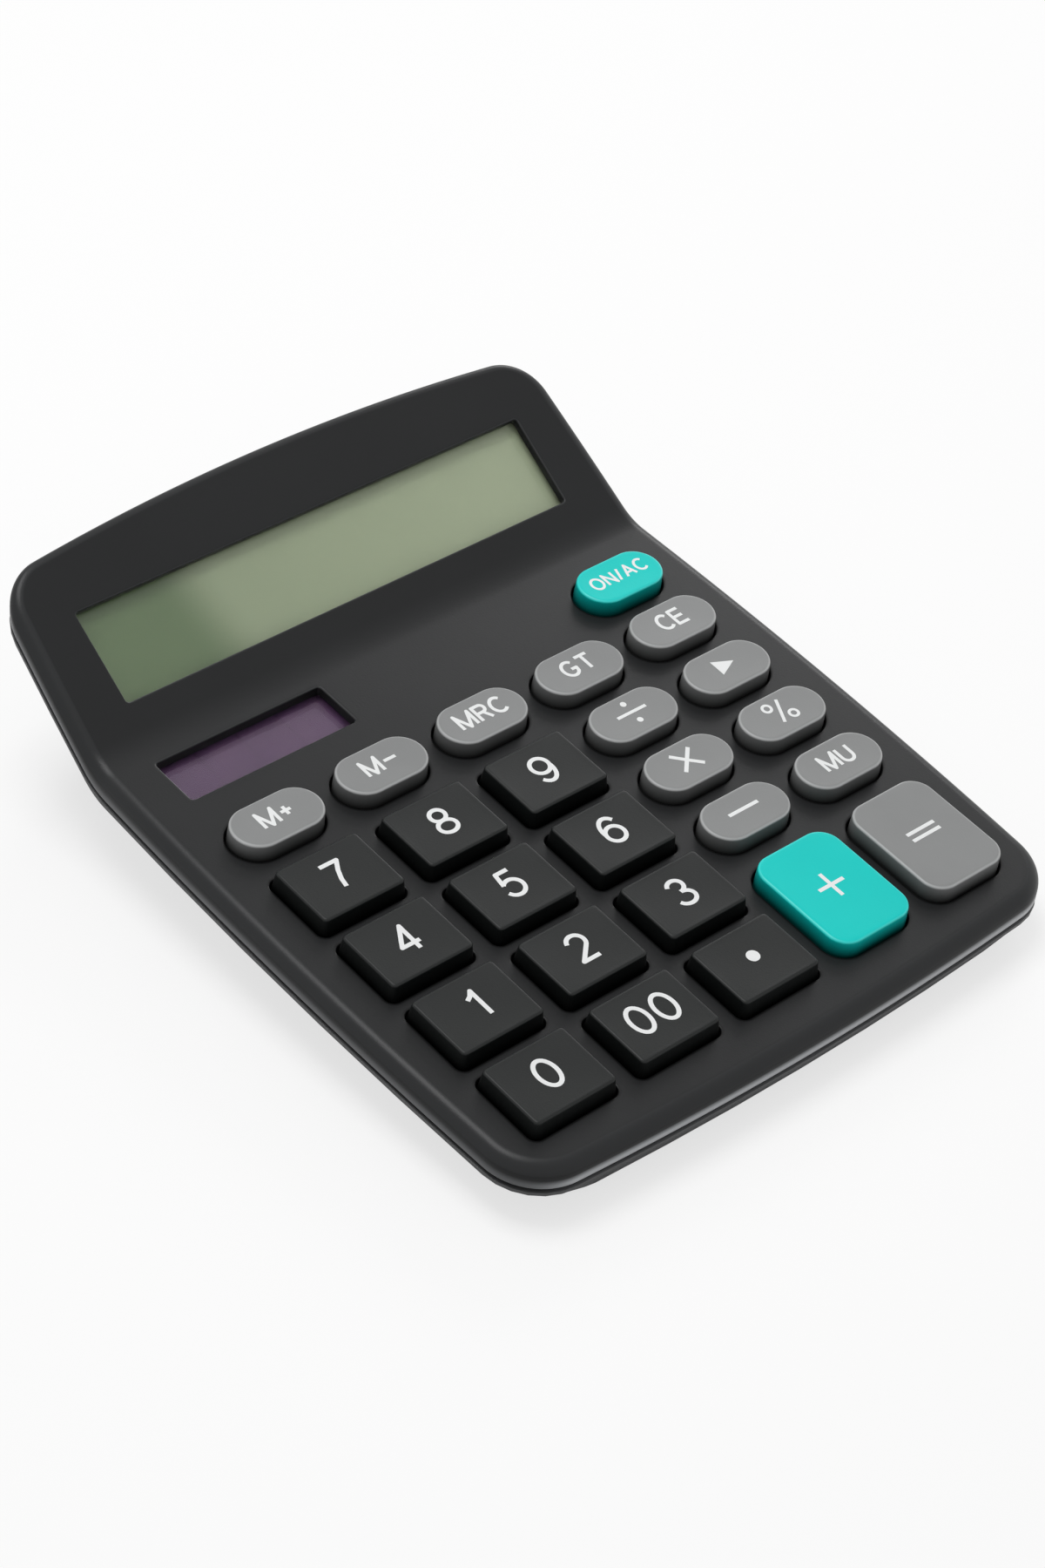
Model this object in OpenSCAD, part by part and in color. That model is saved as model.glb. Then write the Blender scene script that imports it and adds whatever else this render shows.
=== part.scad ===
// Desk calculator: a bent two-part case, 26 sprung keys, a tilted display and an AA battery bay.
// X runs to the right, Y towards the back, Z up. The origin is on the desk, under the middle of the case.
// "Deck frame" below means X right, Y along the keypad deck from the bend, Z out of the deck.

/* [Case] */
// Width of the case where it is widest
case_w = 118.5; // [117:0.5:126]
// Length of the keypad deck, from the front edge to the bend
deck_len = 106.5; // [106:0.5:114]
// Length of the display face, from the bend to the back edge
display_len = 38.5; // [36:0.5:44]
// Height of the front edge of the deck above the desk
front_h = 11.2; // [11:0.1:14]
// Slope of the keypad deck
deck_slope = 4; // [3:0.25:6]
// Angle between the display face and the deck
display_tilt = 28.5; // [24:0.5:32]
// Radius of the soft bend between deck and display face
bend_r = 12; // [8:1:18]
// Radius of the bow of each long side
side_bow_r = 1000; // [800:50:3000]
// Radius of the bow of the front edge
front_bow_r = 700; // [600:10:2000]
// Radius of the bow of the back edge
back_bow_r = 460; // [350:5:1200]
// Corner radius at the front
front_corner_r = 10.6; // [8:0.2:13]
// Corner radius at the back
back_corner_r = 9.2; // [8:0.2:13]
// Where the case is widest, measured forward from the bend
widest_at = 43; // [40:1:60]
// Radius of the rounded rim of the upper case
rim_r = 2.4; // [1:0.1:3.2]
// Drop of the parting line below the top surface
parting_drop = 4.2; // [4.2:0.1:5]
// Height of the lip of the lower case, below the parting groove
lip_h = 0.8; // [0.8:0.1:2]
// Thickness of the deck and display plate
plate_t = 1.8; // [1.4:0.1:2]
// Thickness of the side walls
wall = 2; // [1.6:0.1:2.4]
// Height of the parting groove
groove_h = 0.5; // [0.3:0.1:0.8]
// Depth of the parting groove
groove_d = 0.7; // [0.3:0.1:1]

/* [Base] */
// Height of the flat base above the desk, which the feet make up
base_z = 1.2; // [1:0.1:2]
// Inset of the flat base from each side of the case
base_side = 8.25; // [7.25:0.25:10.25]
// Radius of the bow of the base's long sides
base_bow_r = 260; // [240:5:400]
// Where the base is widest, measured forward from the bend
base_widest_at = 70; // [64:1:76]
// Distance of the base's front edge from the front of the case
base_front_inset = 2.4; // [2.2:0.2:4]
// Distance of the base's back edge behind the bend
base_back = 26; // [25.5:0.1:28]
// Radius of the bow of the base's back edge
base_back_bow_r = 2000; // [1500:100:4000]
// Corner radius of the base at the front
base_front_corner_r = 8; // [6:0.5:12]
// Corner radius of the base at the back
base_back_corner_r = 4; // [2:0.5:4.5]
// Thickness of the floor
floor_t = 2.4; // [2.2:0.1:2.8]
// Diameter of a rubber foot
foot_d = 7; // [6:0.5:7.5]
// Depth of the recess that a foot is glued in
foot_recess = 0.8; // [0.5:0.1:1]

/* [Keys] */
// Height of the key tops above the deck
key_h = 2.9; // [2.4:0.1:3.6]
// Travel of a key
key_travel = 1.2; // [0.8:0.1:1.3]
// Clearance between a key and its opening, all round
key_gap = 0.3; // [0.2:0.05:0.4]
// Distance of the outer key columns' middles from the sides of the case
keypad_side = 16.75; // [16.5:0.05:17.25]
// Distance of the last number key row's middle from the front edge of the deck
keypad_front = 15.4; // [15.3:0.1:16]
// Distance of the first function key row's middle from the bend
first_row = 12.8; // [12.4:0.1:13.4]
// Spacing of the function key rows, as a share of the keypad's length
function_share = 0.1715; // [0.17:0.0005:0.173]
// Spacing of the number key rows, as a share of the keypad's length
number_share = 0.2095; // [0.207:0.0005:0.211]
// Space between the tops of two number keys, side by side
number_space_w = 5.25; // [5:0.05:7]
// Space between the tops of two number keys, front to back
number_space_l = 3.7; // [3.5:0.1:5]
// Corner radius of a number key's top
number_r = 0.8; // [0.5:0.1:2]
// Space between the tops of two function keys, side by side
function_space_w = 5.05; // [4.9:0.05:7]
// Space between the tops of two function keys, front to back
function_space_l = 4.93; // [4.5:0.01:6]
// Space between a big key's top and the function key behind it
big_space = 5.5; // [5:0.1:7]
// Corner radius of a big key's top
big_r = 3.5; // [2:0.1:5]
// How far a key widens from its top to the deck, on each side
key_flare = 0.45; // [0.2:0.05:0.6]
// Wall thickness of a key
key_wall = 1.3; // [1:0.1:1.6]
// How far the retaining tabs reach under the plate, on each side
tab_reach = 0.9; // [0.6:0.1:1]
// Thickness of the retaining tabs
tab_t = 0.8; // [0.6:0.1:1]

/* [Keypad parts] */
// Height of a silicone dome
dome_h = 1.5; // [1.4:0.1:1.8]
// Diameter of a dome at the sheet
dome_d = 7; // [6:0.5:7.5]
// Thickness of the silicone sheet
sheet_t = 0.8; // [0.6:0.1:1]
// Thickness of the circuit board
board_t = 1.2; // [1:0.1:1.6]
// Distance of the circuit board from each side of the case
board_side = 8.25; // [7.25:0.25:9.25]
// Distance of the board's back edge from the bend
board_back = 6.5; // [6:0.1:7]
// Distance of the board's front edge from the front edge of the deck
board_front = 9.5; // [9:0.1:10]
// Diameter of the posts that carry the board
post_d = 3; // [2.6:0.1:3.2]

/* [Display] */
// Distance of the display window from each side of the case
window_side = 12.2; // [11.9:0.1:14]
// Distance of the window from the back edge of the case
window_back = 14.2; // [13.8:0.1:16]
// Distance of the window's lower edge from the bend
window_at = 7.5; // [7:0.1:8.2]
// How far the lens reaches under the window's edges
lens_margin = 1.7; // [1:0.1:2]
// Thickness of the lens
lens_t = 1.2; // [0.8:0.1:1.5]
// Thickness of each glass plate of the LCD
glass_t = 1.1; // [0.7:0.1:1.2]
// Thickness of the holder's back and rim
holder_t = 1.2; // [1:0.1:1.4]

/* [Solar cell] */
// Width of the solar window
solar_w = 33.4; // [30:0.1:34]
// Length of the solar window, front to back
solar_l = 9.8; // [8:0.1:10]
// Distance of the solar window from the side of the case
solar_side = 9.85; // [9.55:0.05:10.55]
// Distance of the window's centre from the bend
solar_at = 9; // [9:0.1:9.4]
// Thickness of the clear solar window
solar_window_t = 1; // [0.8:0.1:1.2]
// Thickness of the solar cell
solar_cell_t = 1.1; // [0.8:0.1:1.2]
// How far the solar window and cell reach under the opening's edges
solar_margin = 1.4; // [1:0.1:1.5]

/* [Battery] */
// Diameter of the AA cell
battery_d = 14.5; // [14:0.1:14.5]
// Length of the AA cell, with its button
battery_l = 50.5; // [49:0.1:50.5]
// Distance of the cell's axis behind the bend
battery_y = 14; // [13.6:0.1:14.4]
// Length of the spring when the cell is in
spring_l = 6; // [5:0.1:7]
// Thickness of the sprung contact strip
contact_t = 0.5; // [0.3:0.1:0.6]
// Thickness of the walls of the battery bay
bay_wall = 1.2; // [1:0.1:1.4]
// Thickness of the battery door
door_t = 1.65; // [1.4:0.05:1.7]
// Travel of the battery door
door_travel = 20; // [16:1:22]

/* [Hidden] */
SMOOTH = 48;        // facets on true circles
SLIDE_GAP = 0.1;    // running clearance along a slide
SEAT_GAP = 0.05;    // clearance between stacked inner parts
FACE_GAP = 0.02;    // clearance between the meeting faces of the case halves
SIDE_GAP = 0.15;    // clearance round a part in its pocket
OVERCUT = 1;        // how far a cutter runs past the face that it cuts

half_w = case_w / 2;
board_w = case_w - 2 * board_side;
window_w = case_w - 2 * window_side;
window_l = display_len - window_at - window_back;
solar_x = half_w - solar_side - solar_w / 2;
display_slope = deck_slope + display_tilt;

// Flat length that the bend takes up on each side of the bend line
bend_l = bend_r * tan(display_tilt / 2);
// Height and place of the bend line, with the case centred front to back on the origin
bend_z = front_h + deck_len * sin(deck_slope);
bend_y = (deck_len * cos(deck_slope) - display_len * cos(display_slope)) / 2;

// Vertical thickness of the deck plate, and what it leaves square to the display face
plate_drop = plate_t / cos(deck_slope);
display_plate_t = plate_drop * cos(display_slope);

// Drops below the top surface, from the parting line down
groove_drop = parting_drop + groove_h;
lip_drop = groove_drop + lip_h;
floor_z = base_z + floor_t;

// ---------------------------------------------------------------- case surface

// Slope of the top surface at s, the distance behind the bend measured along the surface
function slope_at(s) =
    s <= -bend_l ? deck_slope
    : s >= bend_l ? display_slope
    : deck_slope + display_tilt * (s + bend_l) / (2 * bend_l);

// Distance behind and height above the bend line of the top surface at s
function top_at(s) =
    s <= -bend_l ? s * [cos(deck_slope), sin(deck_slope)]
    : s >= bend_l ? s * [cos(display_slope), sin(display_slope)]
    : bend_l * [-cos(deck_slope), -sin(deck_slope)]
        + bend_r * [sin(slope_at(s)) - sin(deck_slope), cos(deck_slope) - cos(slope_at(s))];

// Point of the case at x and s, a vertical drop below the top surface
function on_case(x, s, drop) = [x, bend_y + top_at(s)[0], bend_z + top_at(s)[1] - drop];

// ---------------------------------------------------------------- outlines

// A plan is four bowed edges that tangent corner arcs join:
// [half width, where widest, side radius, front, front radius, back, back radius, front corner, back corner]
case_plan = [
    half_w, -widest_at, side_bow_r,
    -deck_len, front_bow_r, display_len, back_bow_r,
    front_corner_r, back_corner_r
];
base_plan = [
    half_w - base_side, -base_widest_at, base_bow_r,
    base_front_inset - deck_len, front_bow_r, base_back, base_back_bow_r,
    base_front_corner_r, base_back_corner_r
];

FRONT_STEPS = 3;
CORNER_STEPS = 6;
DECK_STEPS = 5;
BEND_STEPS = 6;
DISPLAY_STEPS = 2;

function side_centre(plan) = [plan[0] - plan[2], plan[1]];
function front_centre(plan) = [0, plan[3] + plan[4]];
function back_centre(plan) = [0, plan[5] - plan[6]];

// One of the two points where circles about a and b meet, on the left of the way from a to b if side is 1
function circles_meet(a, ra, b, rb, side) =
    let (
        gap = norm(b - a),
        along = (b - a) / gap,
        reach = (ra * ra - rb * rb + gap * gap) / (2 * gap),
        rise = sqrt(ra * ra - reach * reach)
    )
    a + reach * along + side * rise * [-along[1], along[0]];

function front_corner(plan) =
    circles_meet(side_centre(plan), plan[2] - plan[7], front_centre(plan), plan[4] - plan[7], -1);
function back_corner(plan) =
    circles_meet(side_centre(plan), plan[2] - plan[8], back_centre(plan), plan[6] - plan[8], 1);

function heading(from, to) = atan2(to[1] - from[1], to[0] - from[0]);
function mix(a, b, t) = a + (b - a) * t;

// Points along an arc as [x, s, outward heading]; the first step may be left out
function arc_points(centre, r, a0, a1, steps, first = 0) = [
    for (i = [first:steps])
        let (a = mix(a0, a1, i / steps))
        [centre[0] + r * cos(a), centre[1] + r * sin(a), a]
];

// Where the straight-ish side of a plan starts and ends, measured along it
function side_start(plan) =
    plan[1] + plan[2] * sin(heading(side_centre(plan), front_corner(plan)));
function side_end(plan) =
    plan[1] + plan[2] * sin(heading(side_centre(plan), back_corner(plan)));

// Steps along the side as shares of its length, close together where the case bends
side_stations = [
    for (i = [1:DECK_STEPS - 1]) mix(side_start(case_plan), -bend_l, i / DECK_STEPS),
    for (i = [0:BEND_STEPS]) mix(-bend_l, bend_l, i / BEND_STEPS),
    for (i = [1:DISPLAY_STEPS - 1]) mix(bend_l, side_end(case_plan), i / DISPLAY_STEPS)
];
side_shares = [
    for (s = side_stations)
        (s - side_start(case_plan)) / (side_end(case_plan) - side_start(case_plan))
];

function side_points(plan) = [
    for (share = side_shares)
        let (
            s = mix(side_start(plan), side_end(plan), share),
            a = asin((s - plan[1]) / plan[2])
        )
        [side_centre(plan)[0] + plan[2] * cos(a), s, a]
];

// Right half of a plan, from the middle of the front to the middle of the back
function half_outline(plan) =
    let (
        side = side_centre(plan),
        front = front_centre(plan),
        back = back_centre(plan),
        fc = front_corner(plan),
        bc = back_corner(plan)
    )
    concat(
        arc_points(front, plan[4], -90, heading(front, fc), FRONT_STEPS),
        arc_points(fc, plan[7], heading(front, fc), heading(side, fc), CORNER_STEPS, 1),
        side_points(plan),
        arc_points(bc, plan[8], heading(side, bc), heading(back, bc), CORNER_STEPS),
        arc_points(back, plan[6], heading(back, bc), 90, FRONT_STEPS, 1)
    );

case_half = half_outline(case_plan);
base_half = half_outline(base_plan);

function inset_point(p, inset) = [p[0] - inset * cos(p[2]), p[1] - inset * sin(p[2])];

// Right half of a ring on the case, and of a level ring on the base
function case_ring(inset, drop) = [
    for (p = case_half)
        let (q = inset_point(p, inset))
        on_case(q[0], q[1], drop)
];
function base_ring(inset, z) = [
    for (p = base_half)
        let (q = inset_point(p, inset))
        [q[0], bend_y + q[1], z]
];

// ---------------------------------------------------------------- lofting

function on_middle(p) = abs(p[0]) < 0.001;
function mirrored(half) = [
    for (i = [len(half) - 1:-1:0])
        if (!on_middle(half[i])) [-half[i][0], half[i][1], half[i][2]]
];
function distinct(face) = [
    for (i = [0:len(face) - 1])
        if (face[i] != face[(i + 1) % len(face)]) face[i]
];

// Solid through half rings, lowest first. Each half runs from front to back on the right, and the
// other half is its mirror image. The ends are closed by strips from side to side.
module loft(halves) {
    rows = len(halves);
    points = [for (half = halves) each concat(half, mirrored(half))];
    n = len(points) / rows;
    shift = on_middle(halves[0][0]) ? 0 : 1;
    left = function (j) (n - j - shift) % n;
    sides = [
        for (row = [0:rows - 2], i = [0:n - 1])
            let (a = row * n + i, b = row * n + (i + 1) % n)
            each [[a, a + n, b + n], [a, b + n, b]]
    ];
    bottom = [
        for (j = [0:len(halves[0]) - 2])
            distinct([j, j + 1, left(j + 1), left(j)])
    ];
    top = [
        for (strip = bottom)
            [for (i = [len(strip) - 1:-1:0]) strip[i] + (rows - 1) * n]
    ];
    polyhedron(points = points, faces = concat(sides, bottom, top), convexity = 6);
}

// ---------------------------------------------------------------- frames and plain shapes

// Places children on the keypad deck: x across, s behind the bend, z out of the deck
module on_deck(x = 0, s = 0, z = 0) {
    translate([0, bend_y, bend_z])
        rotate([deck_slope, 0, 0])
            translate([x, s, z])
                children();
}

// Places children on the display face in the same way
module on_display(x = 0, s = 0, z = 0) {
    translate([0, bend_y, bend_z])
        rotate([display_slope, 0, 0])
            translate([x, s, z])
                children();
}

module both_sides() {
    children();
    mirror([1, 0, 0])
        children();
}

// Flat outline with true round corners; r may be half the length
module rounded_outline(w, l, r) {
    corner = min(r, l / 2);
    if (l > 2 * corner)
        square([w, l - 2 * corner], center = true);
    square([w - 2 * corner, l], center = true);
    for (x = [-1, 1], y = l > 2 * corner ? [-1, 1] : [0])
        translate([x * (w / 2 - corner), y * (l / 2 - corner)])
            circle(r = corner, $fn = SMOOTH);
}

// Plate with round corners whose top is at z = 0
module plate_down(w, l, t, r = 0.5) {
    translate([0, 0, -t])
        linear_extrude(height = t)
            rounded_outline(w, l, r);
}

// Block between two corners
module block(low, high) {
    translate(low)
        cube(high - low);
}

// Tube of n sides along a path; ref is never parallel to the path
module tube(path, r, sides, ref) {
    last = len(path) - 1;
    points = [
        for (i = [0:last])
            let (
                step = path[min(i + 1, last)] - path[max(i - 1, 0)],
                across = cross(step, ref) / norm(cross(step, ref)),
                up = cross(across, step) / norm(cross(across, step))
            )
            for (k = [0:sides - 1])
                path[i] + r * (across * cos(360 * k / sides) + up * sin(360 * k / sides))
    ];
    walls = [
        for (i = [0:last - 1], k = [0:sides - 1])
            let (a = i * sides + k, b = i * sides + (k + 1) % sides)
            each [[a, b, b + sides], [a, b + sides, a + sides]]
    ];
    ends = [
        [for (k = [sides - 1:-1:0]) k],
        [for (k = [0:sides - 1]) last * sides + k]
    ];
    polyhedron(points = points, faces = concat(walls, ends), convexity = 4);
}

// Smooth path through hand-placed points (Catmull-Rom), with some steps to each stretch
function path_through(pts, steps) = [
    for (i = [0:len(pts) - 2], k = [0:steps - (i == len(pts) - 2 ? 0 : 1)])
        let (
            t = k / steps,
            p0 = pts[max(i - 1, 0)],
            p1 = pts[i],
            p2 = pts[i + 1],
            p3 = pts[min(i + 2, len(pts) - 1)]
        )
        0.5 * (2 * p1 + (p2 - p0) * t + (2 * p0 - 5 * p1 + 4 * p2 - p3) * t * t
            + (3 * p1 - p0 - 3 * p2 + p3) * t * t * t)
];

// ---------------------------------------------------------------- key layout

// The keys share out the deck that the margins leave
keypad_len = deck_len - keypad_front - first_row;
column_pitch = (half_w - keypad_side) / 2;
function_pitch = keypad_len * function_share;
number_pitch = keypad_len * number_share;

function function_row(i) = -(first_row + i * function_pitch);
function number_row(i) = keypad_front - deck_len + (3 - i) * number_pitch;
function column(i) = (i - 2) * column_pitch;

number_w = column_pitch - number_space_w;
number_l = number_pitch - number_space_l;
function_w = column_pitch - function_space_w;
function_l = function_pitch - function_space_l;

// The big keys reach from the last function row to the front of the last number row
big_front = number_row(3) - number_l / 2;
big_back = function_row(4) - function_l / 2 - big_space;
big_l = big_back - big_front;
big_row = (big_front + big_back) / 2;

// Kinds of key: [top width, top length, corner radius, facets per corner, retaining tab length, colour]
NUMBER = [number_w, number_l, number_r, 3, number_l - 1, "#2b2c2d"];
FUNCTION = [function_w, function_l, function_l / 2, 6, 3.4, "#87898a"];
CLEAR = [function_w, function_l, function_l / 2, 6, 3.4, "#1fc3c0"];
EQUALS = [function_w, big_l, big_r, 5, big_l - 10, "#87898a"];
PLUS = [function_w, big_l, big_r, 5, big_l - 10, "#1fc3c0"];

// Keys as [name, column, distance behind the bend, kind]
KEYS = [
    ["key_on", 4, function_row(0), CLEAR],
    ["key_m_plus", 0, function_row(1), FUNCTION],
    ["key_m_minus", 1, function_row(1), FUNCTION],
    ["key_mrc", 2, function_row(1), FUNCTION],
    ["key_gt", 3, function_row(1), FUNCTION],
    ["key_ce", 4, function_row(1), FUNCTION],
    ["key_divide", 3, function_row(2), FUNCTION],
    ["key_backspace", 4, function_row(2), FUNCTION],
    ["key_multiply", 3, function_row(3), FUNCTION],
    ["key_percent", 4, function_row(3), FUNCTION],
    ["key_minus", 3, function_row(4), FUNCTION],
    ["key_mu", 4, function_row(4), FUNCTION],
    ["key_plus", 3, big_row, PLUS],
    ["key_equals", 4, big_row, EQUALS],
    for (row = [0:2], col = [0:2])
        [str("key_", 7 - 3 * row + col), col, number_row(row), NUMBER],
    ["key_0", 0, number_row(3), NUMBER],
    ["key_00", 1, number_row(3), NUMBER],
    ["key_point", 2, number_row(3), NUMBER]
];

module on_key(key, z = 0) {
    on_deck(column(key[1]), key[2], z)
        children();
}

// Depths below the deck of the parts under a key
tab_top = plate_t + SLIDE_GAP;
key_bottom = tab_top + tab_t;
plunger_bottom = key_bottom + 0.2;
dome_top = plunger_bottom + SEAT_GAP;
sheet_top = dome_top + dome_h;
board_top = sheet_top + sheet_t;
board_bottom = board_top + board_t;

plunger_r = 2.5;
key_edge_r = 0.35;     // rounding of a key's top edge
key_roof_t = 1.4;

// Posts for the board stand where the gaps between the keys cross
function row_gap(a, b) = (a + b) / 2;
column_gap = column_pitch / 2;
last_post_inset = 2.8;  // of the post between the big keys, from their front
POSTS = [
    [-column_gap, row_gap(function_row(0), function_row(1))],
    [3 * column_gap, row_gap(function_row(0), function_row(1))],
    [-3 * column_gap, row_gap(number_row(0), number_row(1))],
    [-column_gap, row_gap(number_row(0), number_row(1))],
    [-3 * column_gap, row_gap(number_row(2), number_row(3))],
    [-column_gap, row_gap(number_row(2), number_row(3))],
    [3 * column_gap, row_gap(function_row(3), function_row(4))],
    [3 * column_gap, row_gap(function_row(4) - function_l / 2, big_back)],
    [3 * column_gap, big_front + last_post_inset]
];

// ---------------------------------------------------------------- screws and bosses

board_screw_r = 0.9;
board_head_r = 1.8;
board_head_t = 1.1;
thread_gap = 0.03;      // clearance of a screw in its pilot hole
screw_bite = 2.6;       // how far a small screw reaches into its post

case_screw_r = 1.1;
case_head_r = 2.3;
case_head_t = 1.6;
case_seat_t = 2.2;      // plastic between the screw head and the boss
case_screw_bite = 2;    // how far a case screw reaches into its boss
pilot_spare = 0.2;      // depth of a pilot hole beyond the screw's end
boss_r = 2.2;
sleeve_r = 3.2;

// Case screws as [x, distance behind the bend]
front_screw_side = 21.25;
front_screw_inset = 5.9;
front_screw = [half_w - front_screw_side, -deck_len + front_screw_inset];
rear_screw = [column_pitch, -solar_at - solar_l / 2 - solar_margin - boss_r - SLIDE_GAP];
CASE_SCREWS = [front_screw, rear_screw];

// Height of the joint between a boss of the upper case and its sleeve on the lower case
function joint_z(screw) = on_case(screw[0], screw[1], parting_drop)[2];

module at_case_screw(screw) {
    translate([screw[0], bend_y + screw[1], 0])
        children();
}

// ---------------------------------------------------------------- display stack

window_s = window_at + window_l / 2;
lens_w = window_w + 2 * lens_margin;
lens_l = window_l + 2 * lens_margin;
lens_depth = display_plate_t + SEAT_GAP;
lcd_depth = lens_depth + lens_t + SEAT_GAP;
lcd_w = lens_w + 1;
lcd_l = lens_l + 0.4;
lcd_ledge = 2;                               // contact ledge of the rear glass
lcd_total_l = lcd_l + lcd_ledge;
lcd_s = window_s - lcd_ledge / 2;            // middle of the rear glass
holder_depth = lcd_depth + 2 * glass_t + SEAT_GAP;
holder_w = lcd_w + 2 * (SIDE_GAP + holder_t);
holder_l = lcd_total_l + 2 * (SIDE_GAP + holder_t);
holder_tab_depth = display_plate_t + 0.9;
holder_post_r = 1.6;
holder_post = [holder_w / 2 + 1.9, window_at + 3];
holder_tab_reach = 3.6;
holder_tab_l = 5;
holder_bite = 1.6;                           // how far the holder's screws reach into their posts

flex_side = 27;                              // distance of the flexible lead from the window's ends
flex_w = window_w - 2 * flex_side;
flex_t = 0.2;

// ---------------------------------------------------------------- battery bay

bay_half = (battery_l + spring_l + 2 * contact_t) / 2;
bay_front = battery_y - battery_d / 2 - 0.55;
bay_rear = battery_y + battery_d / 2 + 0.65;
bay_h = 8.6;                               // height of the bay's walls above the floor
door_half = bay_half - 2;
door_tongue = 1.6;
door_gap = 0.15;
door_tongue_t = 0.8;
door_front = bay_front - 0.2;
slot_z = base_z + door_t + 0.2;            // roof of the slot that the door slides in
battery_z = floor_z + SEAT_GAP + battery_d / 2;
battery_x = bay_half - contact_t - battery_l;      // flat end of the cell
button_d = 5.5;
button_l = 1.2;

// ---------------------------------------------------------------- casing

// Quarter-round rim of the upper case, from its side to its top, as half rings
RIM_STEPS = 4;
rim_rings = [
    for (i = [0:RIM_STEPS])
        let (a = 90 * i / RIM_STEPS)
        case_ring(rim_r * (1 - cos(a)), rim_r * (1 - sin(a)))
];

function opening_outline(kind) = [
    kind[0] + 2 * (key_flare + key_gap),
    kind[1] + 2 * (key_flare + key_gap),
    kind[2] + key_flare + key_gap
];

module key_openings() {
    for (key = KEYS)
        let (o = opening_outline(key[3]))
        on_key(key, OVERCUT)
            plate_down(o[0], o[1], plate_t + 2 * OVERCUT, o[2]);
}

module window_openings() {
    on_display(0, window_s, OVERCUT)
        plate_down(window_w, window_l, display_plate_t + 2 * OVERCUT, 0.6);
    on_deck(-solar_x, -solar_at, OVERCUT)
        plate_down(solar_w, solar_l, plate_t + 2 * OVERCUT, 0.6);
}

// Thin ribs between the key columns stiffen the deck
rib_t = 0.8;
rib_h = 1;
module deck_ribs() {
    for (i = [-3, -1, 1])
        on_deck(i * column_gap)
            block(
                [-rib_t / 2, number_row(3) - number_l / 2, -plate_t - rib_h],
                [rib_t / 2, number_row(0) + number_l / 2, -plate_t + 0.2]
            );
}

module board_posts() {
    for (post = POSTS)
        on_deck(post[0], post[1], -board_top)
            cylinder(d = post_d, h = board_top - plate_t + 0.2, $fn = SMOOTH);
}

module holder_posts() {
    both_sides()
        on_display(holder_post[0], holder_post[1], -holder_tab_depth)
            cylinder(r = holder_post_r, h = holder_tab_depth - display_plate_t + 0.2, $fn = SMOOTH);
}

module case_bosses() {
    both_sides()
        for (screw = CASE_SCREWS)
            at_case_screw(screw)
                translate([0, 0, joint_z(screw)])
                    cylinder(r = boss_r, h = parting_drop - plate_drop + 0.2, $fn = SMOOTH);
}

module pilot_holes() {
    for (post = POSTS)
        on_deck(post[0], post[1], -board_top - OVERCUT)
            cylinder(r = board_screw_r + thread_gap, h = screw_bite + pilot_spare + OVERCUT, $fn = SMOOTH);
    both_sides() {
        on_display(holder_post[0], holder_post[1], -holder_tab_depth - OVERCUT)
            cylinder(r = board_screw_r + thread_gap, h = holder_bite + pilot_spare + OVERCUT, $fn = SMOOTH);
        for (screw = CASE_SCREWS)
            at_case_screw(screw)
                translate([0, 0, joint_z(screw) - OVERCUT])
                    cylinder(
                        r = case_screw_r + thread_gap,
                        h = case_screw_bite + pilot_spare + OVERCUT, $fn = SMOOTH
                    );
    }
}

module upper_case() {
    color("#37393b")
        difference() {
            union() {
                difference() {
                    loft(concat([case_ring(0, parting_drop)], rim_rings));
                    loft([
                        case_ring(wall, parting_drop + OVERCUT),
                        case_ring(wall, plate_drop + 1),
                        case_ring(wall + 0.9, plate_drop)
                    ]);
                }
                deck_ribs();
                board_posts();
                holder_posts();
                case_bosses();
            }
            key_openings();
            window_openings();
            pilot_holes();
        }
}

// The lower case ends in a collar that stands up inside the upper case and lines the halves up
collar_t = 0.9;
collar_h = 1.1;
collar_foot = 0.8;      // thickness of the root that joins the collar to the wall
collar_inset = wall + SIDE_GAP;

// Outside of the lower case: base, straight flanks, lip, parting groove, then the collar
module hull_outside() {
    loft([
        base_ring(0.6, base_z),
        base_ring(0, base_z + 0.6),
        case_ring(0.3, lip_drop + 0.3),
        case_ring(0, lip_drop),
        case_ring(0, groove_drop + 0.2),
        case_ring(groove_d, groove_drop),
        case_ring(groove_d, parting_drop + FACE_GAP),
        case_ring(collar_inset, parting_drop + FACE_GAP),
        case_ring(collar_inset, parting_drop - collar_h)
    ]);
}

module hull_inside() {
    loft([
        base_ring(1, floor_z),
        case_ring(wall, lip_drop),
        case_ring(collar_inset + collar_t, parting_drop + collar_foot),
        case_ring(collar_inset + collar_t, parting_drop - collar_h - OVERCUT)
    ]);
}

module sleeves() {
    both_sides()
        for (screw = CASE_SCREWS)
            at_case_screw(screw)
                translate([0, 0, base_z])
                    cylinder(r = sleeve_r, h = joint_z(screw) - base_z, $fn = SMOOTH);
}

module screw_wells() {
    both_sides()
        for (screw = CASE_SCREWS)
            at_case_screw(screw) {
                cylinder(r = case_head_r + SIDE_GAP, h = joint_z(screw) - case_seat_t, $fn = SMOOTH);
                cylinder(r = case_screw_r + SIDE_GAP, h = joint_z(screw) + OVERCUT, $fn = SMOOTH);
            }
}

// Room in the collar for the upper case's bosses
module boss_rooms() {
    both_sides()
        for (screw = CASE_SCREWS)
            at_case_screw(screw)
                translate([0, 0, joint_z(screw) - FACE_GAP])
                    cylinder(r = boss_r + SIDE_GAP, h = 2 * collar_h, $fn = SMOOTH);
}

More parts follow.
